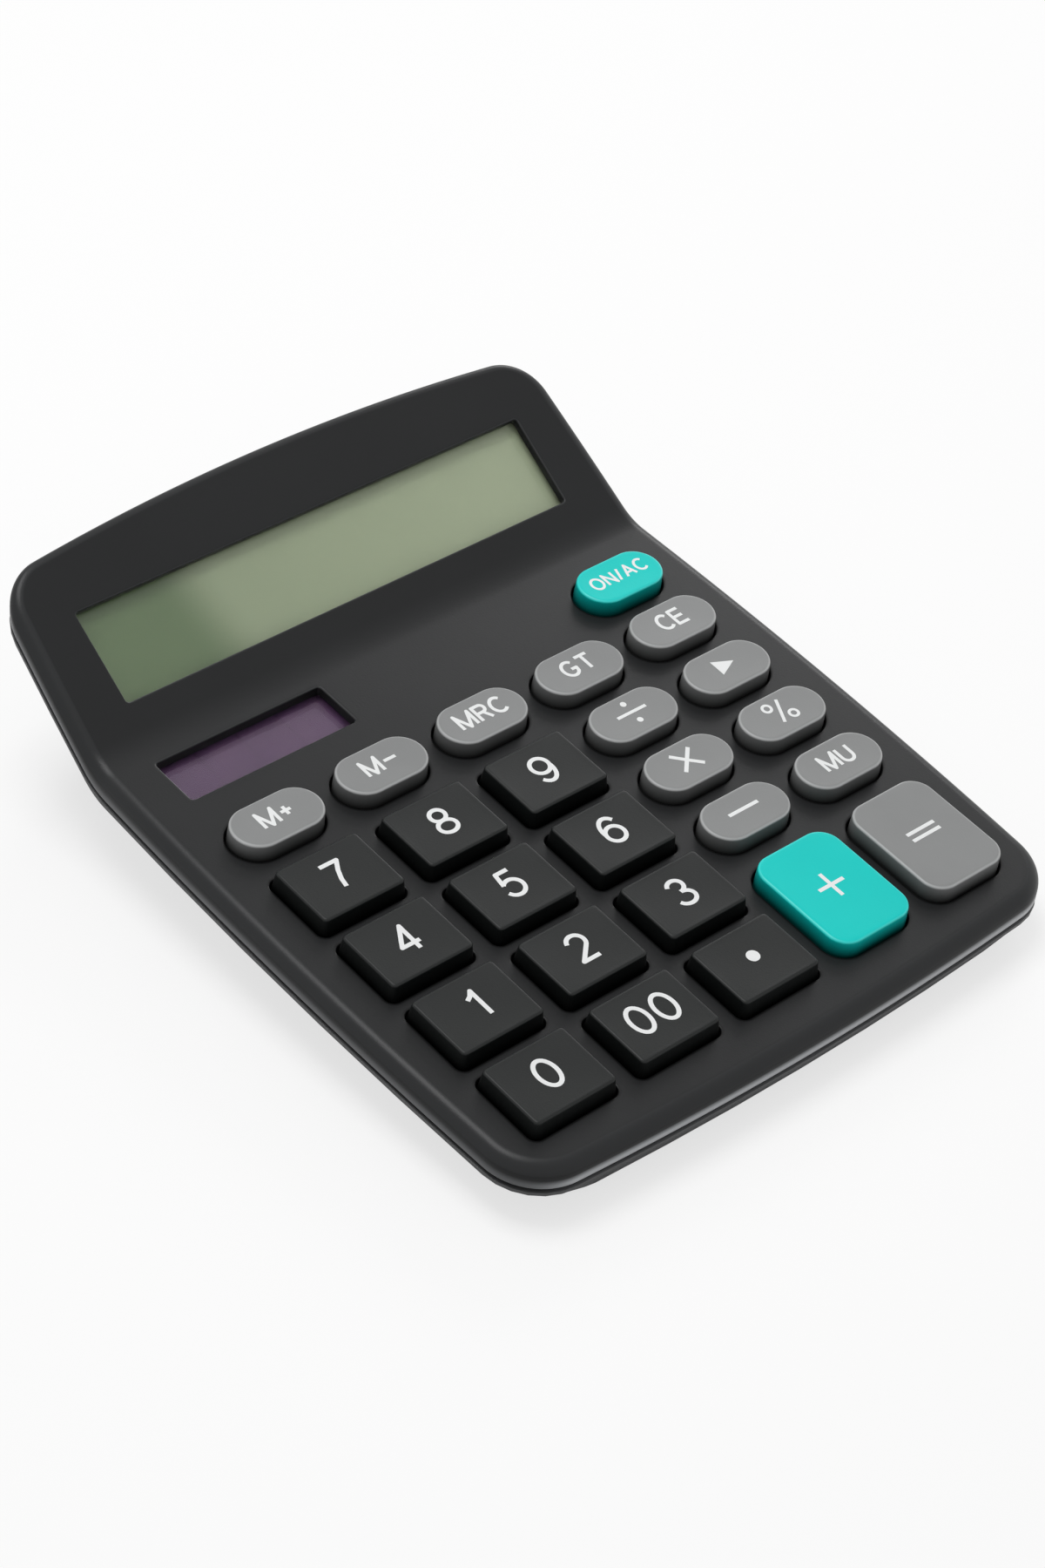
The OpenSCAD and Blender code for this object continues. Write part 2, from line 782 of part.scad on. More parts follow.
module bay_walls() {
    both_sides()
        block(
            [bay_half, bend_y + bay_front - bay_wall, floor_z - 0.2],
            [bay_half + bay_wall, bend_y + bay_rear + bay_wall, floor_z + bay_h]
        );
    for (y = [bay_front - bay_wall, bay_rear])
        block(
            [-bay_half - bay_wall, bend_y + y, floor_z - 0.2],
            [bay_half + bay_wall, bend_y + y + bay_wall, floor_z + bay_h]
        );
}

// The door's slot runs out through the back edge, and the cell's opening is above it
module bay_openings() {
    block(
        [-door_half, bend_y + door_front, base_z - OVERCUT],
        [door_half, bend_y + base_back + 2 * OVERCUT, slot_z]
    );
    block(
        [-door_half - door_tongue - door_gap, bend_y + door_front, slot_z - door_tongue_t - 0.2],
        [door_half + door_tongue + door_gap, bend_y + base_back + 2 * OVERCUT, slot_z]
    );
    block(
        [-door_half, bend_y + bay_front, base_z],
        [door_half, bend_y + bay_rear, floor_z + OVERCUT]
    );
}

// Middles of the feet: the front pair by the corners, the rear pair beside the battery bay
foot_side = 17.25;
foot_front = 14.5;
foot_off_bay = 4.4;
foot_behind = 8;
FEET = [[half_w - foot_side, -deck_len + foot_front], [bay_half + foot_off_bay, foot_behind]];
module at_feet() {
    both_sides()
        for (foot = FEET)
            translate([foot[0], bend_y + foot[1], 0])
                children();
}

module lower_case() {
    color("#2c2d2f")
        difference() {
            union() {
                difference() {
                    hull_outside();
                    hull_inside();
                }
                intersection() {
                    hull_outside();
                    sleeves();
                }
                bay_walls();
            }
            screw_wells();
            boss_rooms();
            bay_openings();
            at_feet()
                cylinder(d = foot_d + 2 * SIDE_GAP, h = base_z + foot_recess, $fn = SMOOTH);
        }
}

// ---------------------------------------------------------------- keys

// Right half of a key's outline, grown on all sides
function key_ring(kind, grow, z) =
    let (
        w = kind[0] / 2 + grow,
        l = kind[1] / 2 + grow,
        r = kind[2] + grow,
        steps = kind[3],
        round_ends = kind[1] - 2 * kind[2] < 0.1
    )
    concat(
        [
            for (i = [0:steps])
                let (a = -90 + 90 * i / steps)
                [w - r + r * cos(a), -l + r + r * sin(a), z]
        ],
        [
            for (i = [round_ends ? 1 : 0:steps])
                let (a = 90 * i / steps)
                [w - r + r * cos(a), l - r + r * sin(a), z]
        ]
    );

// A moulded cap: straight where it slides, tapered above the deck, hollow below, with a plunger
module key_cap(kind) {
    pocket = key_flare - key_wall;
    pocket_top = key_h - key_roof_t;
    tab_start = kind[0] / 2 + key_flare - key_wall / 2;
    tab_end = kind[0] / 2 + key_flare + tab_reach;
    color(kind[5])
        union() {
            difference() {
                loft([
                    key_ring(kind, key_flare, -key_bottom),
                    key_ring(kind, key_flare, 0),
                    key_ring(kind, 0.05, key_h - key_edge_r),
                    key_ring(kind, -key_edge_r, key_h)
                ]);
                translate([0, 0, pocket_top])
                    plate_down(
                        kind[0] + 2 * pocket, kind[1] + 2 * pocket,
                        pocket_top + key_bottom + OVERCUT, max(kind[2] + pocket, 0.5)
                    );
            }
            translate([0, 0, -plunger_bottom])
                cylinder(r = plunger_r, h = plunger_bottom + pocket_top + 0.2, $fn = SMOOTH);
            for (side = [-1, 1])
                translate([side * (tab_start + tab_end) / 2, 0, -tab_top - tab_t / 2])
                    cube([tab_end - tab_start, kind[4], tab_t], center = true);
        }
}

// ---------------------------------------------------------------- keypad parts

module keypad_membrane() {
    sheet_front = number_row(3) - dome_d / 2 - 1.5;
    sheet_back = function_row(1) + dome_d / 2 + 1.5;
    sheet_half = 2 * column_pitch + dome_d / 2 + 3;
    color("#c9ccce")
        difference() {
            union() {
                on_deck(0, (sheet_front + sheet_back) / 2, -sheet_top)
                    plate_down(2 * sheet_half, sheet_back - sheet_front, sheet_t, 2);
                on_deck(column(4), (sheet_back - board_back) / 2 - 0.5, -sheet_top)
                    plate_down(
                        2 * (sheet_half - column(4)),
                        -board_back - sheet_back + 1,
                        sheet_t, 2
                    );
                for (key = KEYS)
                    on_key(key, -sheet_top)
                        cylinder(d1 = dome_d, d2 = 4.6, h = dome_h, $fn = SMOOTH);
            }
            for (key = KEYS)
                on_key(key, -board_top - OVERCUT)
                    cylinder(
                        d1 = dome_d - 1.2, d2 = 3.6,
                        h = dome_h + sheet_t - 0.6 + OVERCUT, $fn = SMOOTH
                    );
            for (post = POSTS)
                on_deck(post[0], post[1], -board_top - OVERCUT)
                    cylinder(d = post_d + 0.6, h = board_top, $fn = SMOOTH);
        }
}

module main_board() {
    color("#2f6b4a")
        difference() {
            on_deck(0, (board_front - deck_len - board_back) / 2, -board_top)
                plate_down(board_w, deck_len - board_front - board_back, board_t, 1);
            for (post = POSTS)
                on_deck(post[0], post[1], -board_bottom - OVERCUT)
                    cylinder(r = board_screw_r + 0.2, h = board_t + 2 * OVERCUT, $fn = SMOOTH);
            both_sides()
                at_case_screw(rear_screw)
                    cylinder(r = sleeve_r + 0.3, h = bend_z, $fn = SMOOTH);
        }
}

chip_at = [0, -60];
chip_r = 5;
module chip_blob() {
    color("#1c1c1e")
        on_deck(chip_at[0], chip_at[1], -board_bottom)
            rotate([180, 0, 0])
                rotate_extrude($fn = SMOOTH)
                    intersection() {
                        translate([0, -chip_r * 2])
                            circle(r = chip_r * sqrt(5), $fn = SMOOTH * 2);
                        square([chip_r * 2, chip_r * 2]);
                    }
}

capacitor_at = [-20, -30];
capacitor_d = 4;
capacitor_l = 7;
module capacitor() {
    color("#26303f")
        on_deck(capacitor_at[0], capacitor_at[1], -board_bottom - capacitor_d / 2 - SEAT_GAP)
            rotate([0, 90, 0])
                cylinder(d = capacitor_d, h = capacitor_l, $fn = SMOOTH);
}

// Screw with its head's crossed slot downwards: the slot is two thirds of the head across
module screw(head_r, head_t, shank_r, length) {
    slot_half = head_r * 2 / 3;
    slot_w = head_r / 3.5;
    translate([0, 0, -head_t])
        difference() {
            cylinder(r = head_r, h = head_t, $fn = SMOOTH);
            for (turn = [0, 90])
                rotate(turn)
                    block([-slot_half, -slot_w / 2, -OVERCUT], [slot_half, slot_w / 2, head_t / 2]);
        }
    cylinder(r = shank_r, h = length, $fn = SMOOTH);
}

module small_screw(length) {
    screw(board_head_r, board_head_t, board_screw_r, length);
}

module board_screws() {
    color("silver")
        for (post = POSTS)
            on_deck(post[0], post[1], -board_bottom)
                small_screw(board_t + screw_bite);
}

module case_screws() {
    color("silver")
        both_sides()
            for (screw = CASE_SCREWS)
                at_case_screw(screw)
                    translate([0, 0, joint_z(screw) - case_seat_t])
                        screw(case_head_r, case_head_t, case_screw_r, case_seat_t + case_screw_bite);
}

// ---------------------------------------------------------------- display

module display_lens() {
    color("#b9c4c4", 0.35)
        on_display(0, window_s, -lens_depth)
            plate_down(lens_w, lens_l, lens_t, 1);
}

module lcd_panel() {
    color("#7f8b77")
        on_display() {
            translate([0, window_s, -lcd_depth])
                plate_down(lcd_w, lcd_l, glass_t, 0.3);
            translate([0, lcd_s, -lcd_depth - glass_t])
                plate_down(lcd_w, lcd_total_l, glass_t, 0.3);
        }
}

module lcd_holder() {
    rim_depth = display_plate_t + 0.4;
    tab_root = 1;
    tab_x = (holder_w + holder_tab_reach - tab_root) / 2;
    color("#d8d8d2")
        on_display()
            difference() {
                union() {
                    translate([0, lcd_s, -rim_depth])
                        plate_down(holder_w, holder_l, holder_depth + holder_t - rim_depth, 1);
                    for (side = [-1, 1])
                        translate([side * tab_x, holder_post[1], -holder_tab_depth])
                            plate_down(holder_tab_reach + tab_root, holder_tab_l, holder_t, 0.6);
                }
                translate([0, lcd_s, -rim_depth + OVERCUT])
                    plate_down(
                        lcd_w + 2 * SIDE_GAP, lcd_total_l + 2 * SIDE_GAP,
                        holder_depth - rim_depth + OVERCUT, 0.4
                    );
                // Way out for the flexible lead, over the lower wall
                translate([0, lcd_s - holder_l / 2, -rim_depth + OVERCUT])
                    plate_down(flex_w + 2, 4 * holder_t, holder_depth - rim_depth - glass_t + OVERCUT, 0.4);
                for (side = [-1, 1])
                    translate([side * holder_post[0], holder_post[1], -holder_depth - holder_t])
                        cylinder(r = board_screw_r + 0.2, h = holder_depth, $fn = SMOOTH);
            }
}

module holder_screws() {
    color("silver")
        for (side = [-1, 1])
            on_display(side * holder_post[0], holder_post[1], -holder_tab_depth - holder_t)
                small_screw(holder_t + holder_bite);
}

// Side view of the flexible lead: on the LCD's ledge, down through the bend, on the board's back edge
module lcd_flex() {
    ledge = lcd_depth + glass_t - flex_t / 2 - SEAT_GAP;
    land = board_top - flex_t / 2 - SEAT_GAP;
    start_s = window_s - lcd_l / 2 - 0.2;
    board_lap = 2.5;
    below = function (s, depth, slope)
        [s * cos(slope) + depth * sin(slope), s * sin(slope) - depth * cos(slope)];
    ledge_point = function (s) below(s, ledge, display_slope);
    board_point = function (s) below(s, land, deck_slope);
    line = path_through([
        ledge_point(start_s), ledge_point(start_s - 1.6), ledge_point(start_s - 3.4),
        board_point(-board_back + 3), board_point(-board_back), board_point(-board_back - board_lap)
    ], 4);
    last = len(line) - 1;
    edge = function (side) [
        for (i = [0:last])
            let (
                step = line[min(i + 1, last)] - line[max(i - 1, 0)],
                across = [-step[1], step[0]] / norm(step)
            )
            line[i] + side * flex_t / 2 * across
    ];
    under = edge(-1);
    color("#c98f3a")
        translate([-flex_w / 2, bend_y, bend_z])
            rotate([90, 0, 90])
                linear_extrude(height = flex_w)
                    polygon(concat(edge(1), [for (i = [last:-1:0]) under[i]]));
}

// ---------------------------------------------------------------- solar cell

solar_window_depth = plate_t + SEAT_GAP;
solar_cell_depth = solar_window_depth + solar_window_t + SEAT_GAP;

module solar_window() {
    color("#c9c2cf", 0.4)
        on_deck(-solar_x, -solar_at, -solar_window_depth)
            plate_down(solar_w + 2 * solar_margin, solar_l + 2 * solar_margin, solar_window_t);
}

module solar_cell() {
    color("#4d3a4e")
        on_deck(-solar_x, -solar_at, -solar_cell_depth)
            plate_down(solar_w + 2 * solar_margin, solar_l + 2 * solar_margin, solar_cell_t);
}

module solar_leads() {
    lead_r = 0.35;
    lead_offset = 10;
    cell_bottom = solar_cell_depth + solar_cell_t;
    color("#b03a30")
        for (x = [-solar_x - lead_offset, -solar_x + lead_offset])
            on_deck(x, -solar_at, -board_top)
                cylinder(r = lead_r, h = board_top - cell_bottom, $fn = SMOOTH);
}

// ---------------------------------------------------------------- battery

module battery() {
    r = battery_d / 2;
    edge = 0.5;
    color("#3c6f9c")
        translate([battery_x, bend_y + battery_y, battery_z])
            rotate([0, 90, 0])
                rotate_extrude($fn = SMOOTH)
                    polygon([
                        [0, 0], [r - edge, 0], [r, edge],
                        [r, battery_l - button_l - edge], [r - edge, battery_l - button_l],
                        [button_d / 2, battery_l - button_l], [button_d / 2, battery_l], [0, battery_l]
                    ]);
}

// Contact plate standing in the bay, with a tab bent out over the wall for the lead
contact_w = 9;
module contact_strip() {
    wall_top = floor_z + bay_h;
    block(
        [bay_half - contact_t, bend_y + battery_y - contact_w / 2, floor_z + 0.3],
        [bay_half, bend_y + battery_y + contact_w / 2, wall_top + contact_t + SEAT_GAP]
    );
    block(
        [bay_half - 0.1, bend_y + battery_y - 2, wall_top + SEAT_GAP],
        [bay_half + 3, bend_y + battery_y + 2, wall_top + contact_t + SEAT_GAP]
    );
}

module battery_plate() {
    color("#c8c8c8")
        contact_strip();
}

module battery_spring() {
    turns = 4;
    wire_r = 0.35;
    wide = 4.2;
    narrow = 2.4;
    from_x = -bay_half + contact_t + wire_r - 0.1;
    to_x = battery_x - wire_r - SEAT_GAP;
    coil = [
        for (i = [0:14 * turns])
            let (t = i / (14 * turns), a = 360 * turns * t, r = mix(wide, narrow, t))
            [mix(from_x, to_x, t), bend_y + battery_y + r * cos(a), battery_z + r * sin(a)]
    ];
    color("#c8c8c8") {
        mirror([1, 0, 0])
            contact_strip();
        tube(coil, wire_r, 6, [1, 0, 0]);
    }
}

module battery_leads() {
    lead_r = 0.6;
    pad_x = 14;
    pad_inset = 3;
    top = floor_z + bay_h + contact_t + SEAT_GAP;
    start = on_case(pad_x, -board_back - pad_inset, board_bottom / cos(deck_slope) + lead_r)
        - [0, bend_y, 0];
    route = [
        start,
        [15.5, -7, 9],
        [19, -1, 6.5],
        [25, bay_front - 3.4, 5.8],
        [bay_half + 1.5, bay_front - 3.4, 6],
        [bay_half + 4.6, bay_front - 0.6, 7.5],
        [bay_half + 4.8, battery_y - 5, 10.5],
        [bay_half + 4.4, battery_y - 1.2, top + lead_r + 0.3],
        [bay_half + 1.8, battery_y, top + lead_r + 0.15]
    ];
    both_sides()
        color("#a8322b")
            translate([0, bend_y, 0])
                tube(path_through(route, 3), lead_r, 8, [0.3, 0.2, 1]);
}

// Door in the floor of the bay: side tongues run in the slot, ridges give the thumb a grip
module battery_door() {
    door_rear = base_back - 0.5;
    grip_w = 18;
    groove_w = 1;
    groove_depth = 0.4;
    grooves = 5;
    color("#2c2d2f")
        translate([0, bend_y, base_z])
            difference() {
                union() {
                    block(
                        [-door_half + door_gap, door_front + door_gap, 0],
                        [door_half - door_gap, door_rear, door_t]
                    );
                    block(
                        [-door_half - door_tongue, door_front + door_gap, door_t - door_tongue_t],
                        [door_half + door_tongue, door_rear, door_t]
                    );
                }
                for (i = [1:grooves])
                    block(
                        [-grip_w / 2, door_rear - (2 * i + 2) * groove_w, -OVERCUT],
                        [grip_w / 2, door_rear - (2 * i + 1) * groove_w, groove_depth]
                    );
            }
}

module rubber_feet() {
    color("#1b1b1b")
        at_feet()
            rotate_extrude($fn = SMOOTH)
                polygon([
                    [0, 0], [foot_d / 2 - 0.4, 0], [foot_d / 2, 0.4],
                    [foot_d / 2, base_z + foot_recess - SEAT_GAP], [0, base_z + foot_recess - SEAT_GAP]
                ]);
}

// ---------------------------------------------------------------- nodes

upper_case();
lower_case();
display_lens();
lcd_panel();
lcd_holder();
lcd_flex();
solar_window();
solar_cell();
solar_leads();
keypad_membrane();
main_board();
chip_blob();
capacitor();
board_screws();
holder_screws();
case_screws();
battery();
battery_plate();
battery_spring();
battery_leads();
battery_door();
rubber_feet();
for (key = KEYS)
    on_key(key) key_cap(key[3]);
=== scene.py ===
import math

import bpy
import numpy as np
from mathutils import Matrix, Vector
from mathutils.geometry import delaunay_2d_cdt


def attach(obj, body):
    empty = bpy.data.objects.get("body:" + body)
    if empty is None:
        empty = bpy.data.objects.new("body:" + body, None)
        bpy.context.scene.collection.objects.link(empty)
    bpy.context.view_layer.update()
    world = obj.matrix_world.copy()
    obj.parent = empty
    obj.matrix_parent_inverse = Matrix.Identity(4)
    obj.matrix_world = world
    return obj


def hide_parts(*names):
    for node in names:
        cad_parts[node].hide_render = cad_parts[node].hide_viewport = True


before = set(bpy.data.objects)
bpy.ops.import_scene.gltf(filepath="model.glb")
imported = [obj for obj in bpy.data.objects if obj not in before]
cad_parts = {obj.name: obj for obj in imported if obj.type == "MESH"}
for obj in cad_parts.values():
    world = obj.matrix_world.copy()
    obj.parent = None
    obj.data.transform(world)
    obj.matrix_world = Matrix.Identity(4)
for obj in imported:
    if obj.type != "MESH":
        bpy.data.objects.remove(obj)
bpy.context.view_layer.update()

# ------------------------------------------------------------------ desk, lamps and camera
# A white desk in soft light from above, with one lamp high behind the object and a weaker low one that
# puts a sheen on its back right, and a long lens on a slightly rolled camera at the front left.

CAMERA_AIM = Vector((-0.0063, -0.0064, 0.0199))
CAMERA_DISTANCE = 0.601
CAMERA_AZIMUTH = math.radians(-45.62)
CAMERA_ELEVATION = math.radians(40.52)
CAMERA_ROLL = math.radians(6.49)
LENS_MM = 87.0
SENSOR_MM = 36.0
NEAREST_SEEN = 0.01
DESK_SIZE = 8.0
DESK_COLOUR = (0.98, 0.98, 0.98)
DESK_ROUGHNESS = 0.9
DESK_SHINE = 0.1
DESK_GLOW = 0.7         # how far the camera sees the desk as plain white
SKY_LOW = 0.04          # strength of the light from the sky at the horizon
SKY_HIGH = 0.62         # and straight overhead


def placed(name, data):
    """A new object around its data, in the scene at the origin."""
    thing = bpy.data.objects.new(name, data)
    bpy.context.scene.collection.objects.link(thing)
    return thing


def feed(tree, node, values):
    """Fills inputs of a node: a socket is linked, and a colour of three channels gets its fourth."""
    for name, value in values.items():
        if isinstance(value, bpy.types.NodeSocket):
            tree.links.new(value, node.inputs[name])
        else:
            node.inputs[name].default_value = (*value, 1) if isinstance(value, tuple) else value


def add_node(tree, kind, values=(), **settings):
    """A new shader node of a kind, with its settings made and then its inputs filled."""
    node = tree.nodes.new(f"ShaderNode{kind}")
    for name, setting in settings.items():
        setattr(node, name, setting)
    feed(tree, node, dict(values))
    return node


def calculate(tree, operation, *values):
    """The result of a math node on numbers or sockets."""
    return add_node(tree, "Math", enumerate(values), operation=operation).outputs[0]


def map_range(tree, value, source, target=(0.0, 1.0), **settings):
    """A value carried from one range to another and kept within it."""
    inputs = dict(zip(("From Min", "From Max", "To Min", "To Max"), (*source, *target)))
    return add_node(tree, "MapRange", inputs | {"Value": value}, **settings).outputs["Result"]


def coordinates(tree, kind):
    """The X, Y and Z sockets of one kind of texture coordinates."""
    place = add_node(tree, "TexCoord").outputs[kind]
    return add_node(tree, "SeparateXYZ", {0: place}).outputs


def node_material(name):
    """A new material, its node tree and its shader."""
    material = bpy.data.materials.new(name)
    material.use_nodes = True
    return material, material.node_tree, material.node_tree.nodes["Principled BSDF"]


def build_camera():
    """The camera stands back from its aim along its own axis, after azimuth, elevation and roll."""
    turn = (
        Matrix.Rotation(CAMERA_AZIMUTH, 4, "Z")
        @ Matrix.Rotation(math.pi / 2 - CAMERA_ELEVATION, 4, "X")
        @ Matrix.Rotation(CAMERA_ROLL, 4, "Z")
    )
    data = bpy.data.cameras.new("camera")
    data.lens = LENS_MM
    data.sensor_width = SENSOR_MM
    data.clip_start = NEAREST_SEEN
    camera = placed("camera", data)
    camera.matrix_world = Matrix.Translation(CAMERA_AIM) @ turn @ Matrix.Translation((0, 0, CAMERA_DISTANCE))
    bpy.context.scene.camera = camera


def build_desk():
    """One large level quad at the height of the feet, which the camera sees whiter than lit."""
    half = DESK_SIZE / 2
    corners = [(-half, -half, 0), (half, -half, 0), (half, half, 0), (-half, half, 0)]
    mesh = bpy.data.meshes.new("desk")
    mesh.from_pydata(corners, [], [(0, 1, 2, 3)])
    material, tree, shader = node_material("desk_white")
    feed(tree, shader, {
        "Base Color": DESK_COLOUR,
        "Roughness": DESK_ROUGHNESS,
        "Specular IOR Level": DESK_SHINE,
    })
    seen = add_node(tree, "LightPath").outputs["Is Camera Ray"]
    mix = add_node(tree, "MixShader", {
        "Fac": calculate(tree, "MULTIPLY", seen, DESK_GLOW),
        1: shader.outputs["BSDF"],
        2: add_node(tree, "Emission").outputs["Emission"],
    })
    feed(tree, tree.nodes["Material Output"], {"Surface": mix.outputs["Shader"]})
    mesh.materials.append(material)
    desk = placed("desk", mesh)


def add_lamp(name, place, size, power):
    """A square area lamp that faces the middle of the object."""
    data = bpy.data.lights.new(name, "AREA")
    data.shape = "SQUARE"
    data.size = size
    data.energy = power
    lamp = placed(name, data)
    lamp.location = place
    lamp.rotation_euler = (CAMERA_AIM - Vector(place)).to_track_quat("-Z", "Y").to_euler()


def build_sky():
    """Soft light, stronger from overhead, which the camera, reflections and glass see as white."""
    world = bpy.data.worlds.new("studio")
    world.use_nodes = True
    tree = world.node_tree
    strength = map_range(tree, coordinates(tree, "Generated")["Z"], (0.0, 1.0), (SKY_LOW, SKY_HIGH))
    path = add_node(tree, "LightPath")
    for ray in ("Is Camera Ray", "Is Glossy Ray", "Is Transmission Ray"):
        strength = calculate(tree, "MAXIMUM", strength, path.outputs[ray])
    feed(tree, tree.nodes["Background"], {"Color": (1, 1, 1), "Strength": strength})
    bpy.context.scene.world = world


build_camera()
build_desk()
build_sky()
add_lamp("key_lamp", (-0.08, 0.20, 0.84), 0.42, 3.5)
add_lamp("back_lamp", (0.74, 0.50, 0.46), 0.35, 1.8)
bpy.context.scene.view_settings.view_transform = "Standard"

# ------------------------------------------------------------------ upper case
# The top half of the housing, injection moulded in charcoal ABS with a fine grain: keypad deck, soft
# bend and tilted display face in one skin, with a rounded rim and the openings for keys, display and
# solar cell. Four screws from below hold it. All sizes are in millimetres.

MM = 0.001

CASE_W = 118.5
DECK_LEN = 106.5
DISPLAY_LEN = 38.5
FRONT_H = 11.2
DECK_SLOPE = math.radians(4.0)
DISPLAY_TILT = math.radians(28.5)
BEND_R = 12.0
RIM_R = 2.4
PARTING_DROP = 4.2
PLATE_T = 1.8
WALL = 2.0

DISPLAY_SLOPE = DECK_SLOPE + DISPLAY_TILT
BEND_L = BEND_R * math.tan(DISPLAY_TILT / 2)
BEND_Z = FRONT_H + DECK_LEN * math.sin(DECK_SLOPE)
BEND_Y = (DECK_LEN * math.cos(DECK_SLOPE) - DISPLAY_LEN * math.cos(DISPLAY_SLOPE)) / 2
PLATE_DROP = PLATE_T / math.cos(DECK_SLOPE)
DISPLAY_PLATE_T = PLATE_DROP * math.cos(DISPLAY_SLOPE)

FACET_SLACK = 0.025     # how far the smooth outline stays inside the faceted solids' box
CASE_PLAN = {
    "half": CASE_W / 2 - FACET_SLACK, "side_r": 1000.0, "widest": -43.0,
    "front": FACET_SLACK - DECK_LEN, "front_r": 700.0, "front_corner": 10.6,
    "back": DISPLAY_LEN - FACET_SLACK, "back_r": 460.0, "back_corner": 9.2,
}

# Steps of the outline: over half a bowed end, a corner, and the sides along deck, bend and display
BOW_STEPS = 20
CORNER_STEPS = 18
DECK_STEPS = 24
BEND_STEPS = 14
DISPLAY_STEPS = 8

# Steps of the rounded edges: the wall's foot, the rim, an opening's edge, and the corners of an opening
FOOT_STEPS = 3
RIM_STEPS = 12
OPENING_EDGE_STEPS = 4
KEY_OPENING_STEPS = 14
WINDOW_STEPS = 4

EDGE_ROUND = 0.3        # small radius that a steel mould leaves on an opening
GUARD = 0.35            # flat margin that keeps a rounded edge's shading off the plate
INNER_BEVEL = (0.9, 1.0)    # width along the roof and height down the wall, where they meet inside
SMALLEST_CORNER = 0.2   # radius of a corner that would otherwise be sharper
TOUCHING = 1e-6         # points closer than this are one
CREASE = math.radians(38)   # faces that turn more than this from one another meet in a sharp edge
POLISH_IOR = 1.65       # refractive index of the gloss that handling leaves on an edge
PAINTED_SHADE_SHARE = 0.12           # share of a colour left where painted shade is darkest, at the foot of a key and round its opening
GRAIN_STRENGTH = 0.6
GRAIN_DETAIL = 2
MOTTLE_DETAIL = 5

# Marks of the case's edges, on a scale from -1 where a surface is painted darkest as shade to 1 where it is
# painted lighter as a highlight under a full gloss coat
KEY_OPENING_MARK = -0.8
WINDOW_MARK = 0.05
RIM_MARK = 0.02
HIGHLIGHT_BAND_H = 0.8        # height of the band above the parting line that is painted lighter as a highlight, under a gloss coat
SIDE_HIGHLIGHT = 0.2       # share of that painted highlight and gloss at the case's sides


def on_case(x, s, drop):
    """Points at x and s, the distance behind the bend along the top face, a vertical drop below it:
    a straight deck, an arc of the bend's radius, then a straight display face."""
    x, s, drop = np.broadcast_arrays(np.asarray(x, float), s, drop)
    slope = DECK_SLOPE + DISPLAY_TILT * np.clip((s + BEND_L) / (2 * BEND_L), 0, 1)
    bend_y = BEND_R * (np.sin(slope) - math.sin(DECK_SLOPE)) - BEND_L * math.cos(DECK_SLOPE)
    bend_z = BEND_R * (math.cos(DECK_SLOPE) - np.cos(slope)) - BEND_L * math.sin(DECK_SLOPE)
    run = np.minimum(s + BEND_L, 0) + np.maximum(s - BEND_L, 0)
    y = bend_y + run * np.cos(slope)
    z = bend_z + run * np.sin(slope)
    return np.stack([x, BEND_Y + y, BEND_Z + z - drop], axis=-1)


def on_slope(x, s, height, slope):
    """Points of a plane through the bend line that rises at the slope, lifted square to it."""
    x, s, height = np.broadcast_arrays(np.asarray(x, float), s, height)
    y = BEND_Y + s * math.cos(slope) - height * math.sin(slope)
    z = BEND_Z + s * math.sin(slope) + height * math.cos(slope)
    return np.stack([x, y, z], axis=-1)


def circles_meet(a, ra, b, rb, side):
    """Where circles about a and b meet, on the left of the way from a to b if side is 1."""
    a, b = np.array(a), np.array(b)
    gap = np.linalg.norm(b - a)
    along = (b - a) / gap
    reach = (ra * ra - rb * rb + gap * gap) / (2 * gap)
    rise = math.sqrt(ra * ra - reach * reach)
    return a + reach * along + side * rise * np.array([-along[1], along[0]])


def heading(start, end):
    return math.atan2(end[1] - start[1], end[0] - start[0])


def arc(centre, radius, start, end, steps):
    """Columns x, s and outward heading at even steps along a circle's arc, without its last point."""
    turn = start + (end - start) * np.arange(steps) / steps
    return np.column_stack([centre[0] + radius * np.cos(turn), centre[1] + radius * np.sin(turn), turn])


def outline(plan):
    """Closed plan outline, anticlockwise from the middle of the front: bowed edges that tangent corner
    arcs join. Its side has a row of points at every step of the bend. Columns x, s, heading."""
    side = (plan["half"] - plan["side_r"], plan["widest"])
    front = (0.0, plan["front"] + plan["front_r"])
    back = (0.0, plan["back"] - plan["back_r"])

    def corner_centre(end, centre, turn):
        """The middle of the arc that touches the side's circle and an end's from within."""
        r = plan[f"{end}_corner"]
        return circles_meet(side, plan["side_r"] - r, centre, plan[f"{end}_r"] - r, turn)

    near = corner_centre("front", front, -1)
    far = corner_centre("back", back, 1)
    side_start, side_end = (side[1] + plan["side_r"] * math.sin(heading(side, c)) for c in (near, far))
    s = np.concatenate([
        np.linspace(side_start, -BEND_L, DECK_STEPS, endpoint=False),
        np.linspace(-BEND_L, BEND_L, BEND_STEPS, endpoint=False),
        np.linspace(BEND_L, side_end, DISPLAY_STEPS, endpoint=False),
    ])
    turn = np.arcsin((s - side[1]) / plan["side_r"])
    long_side = np.column_stack([side[0] + plan["side_r"] * np.cos(turn), s, turn])
    half = np.concatenate([
        arc(front, plan["front_r"], -math.pi / 2, heading(front, near), BOW_STEPS),
        arc(near, plan["front_corner"], heading(front, near), heading(side, near), CORNER_STEPS),
        long_side,
        arc(far, plan["back_corner"], heading(side, far), heading(back, far), CORNER_STEPS),
        arc(back, plan["back_r"], heading(back, far), math.pi / 2, BOW_STEPS),
        [[0.0, plan["back"], math.pi / 2]],
    ])
    left = half[-2:0:-1].copy()
    left[:, 0] *= -1
    left[:, 2] = math.pi - left[:, 2]
    return np.concatenate([half, left])


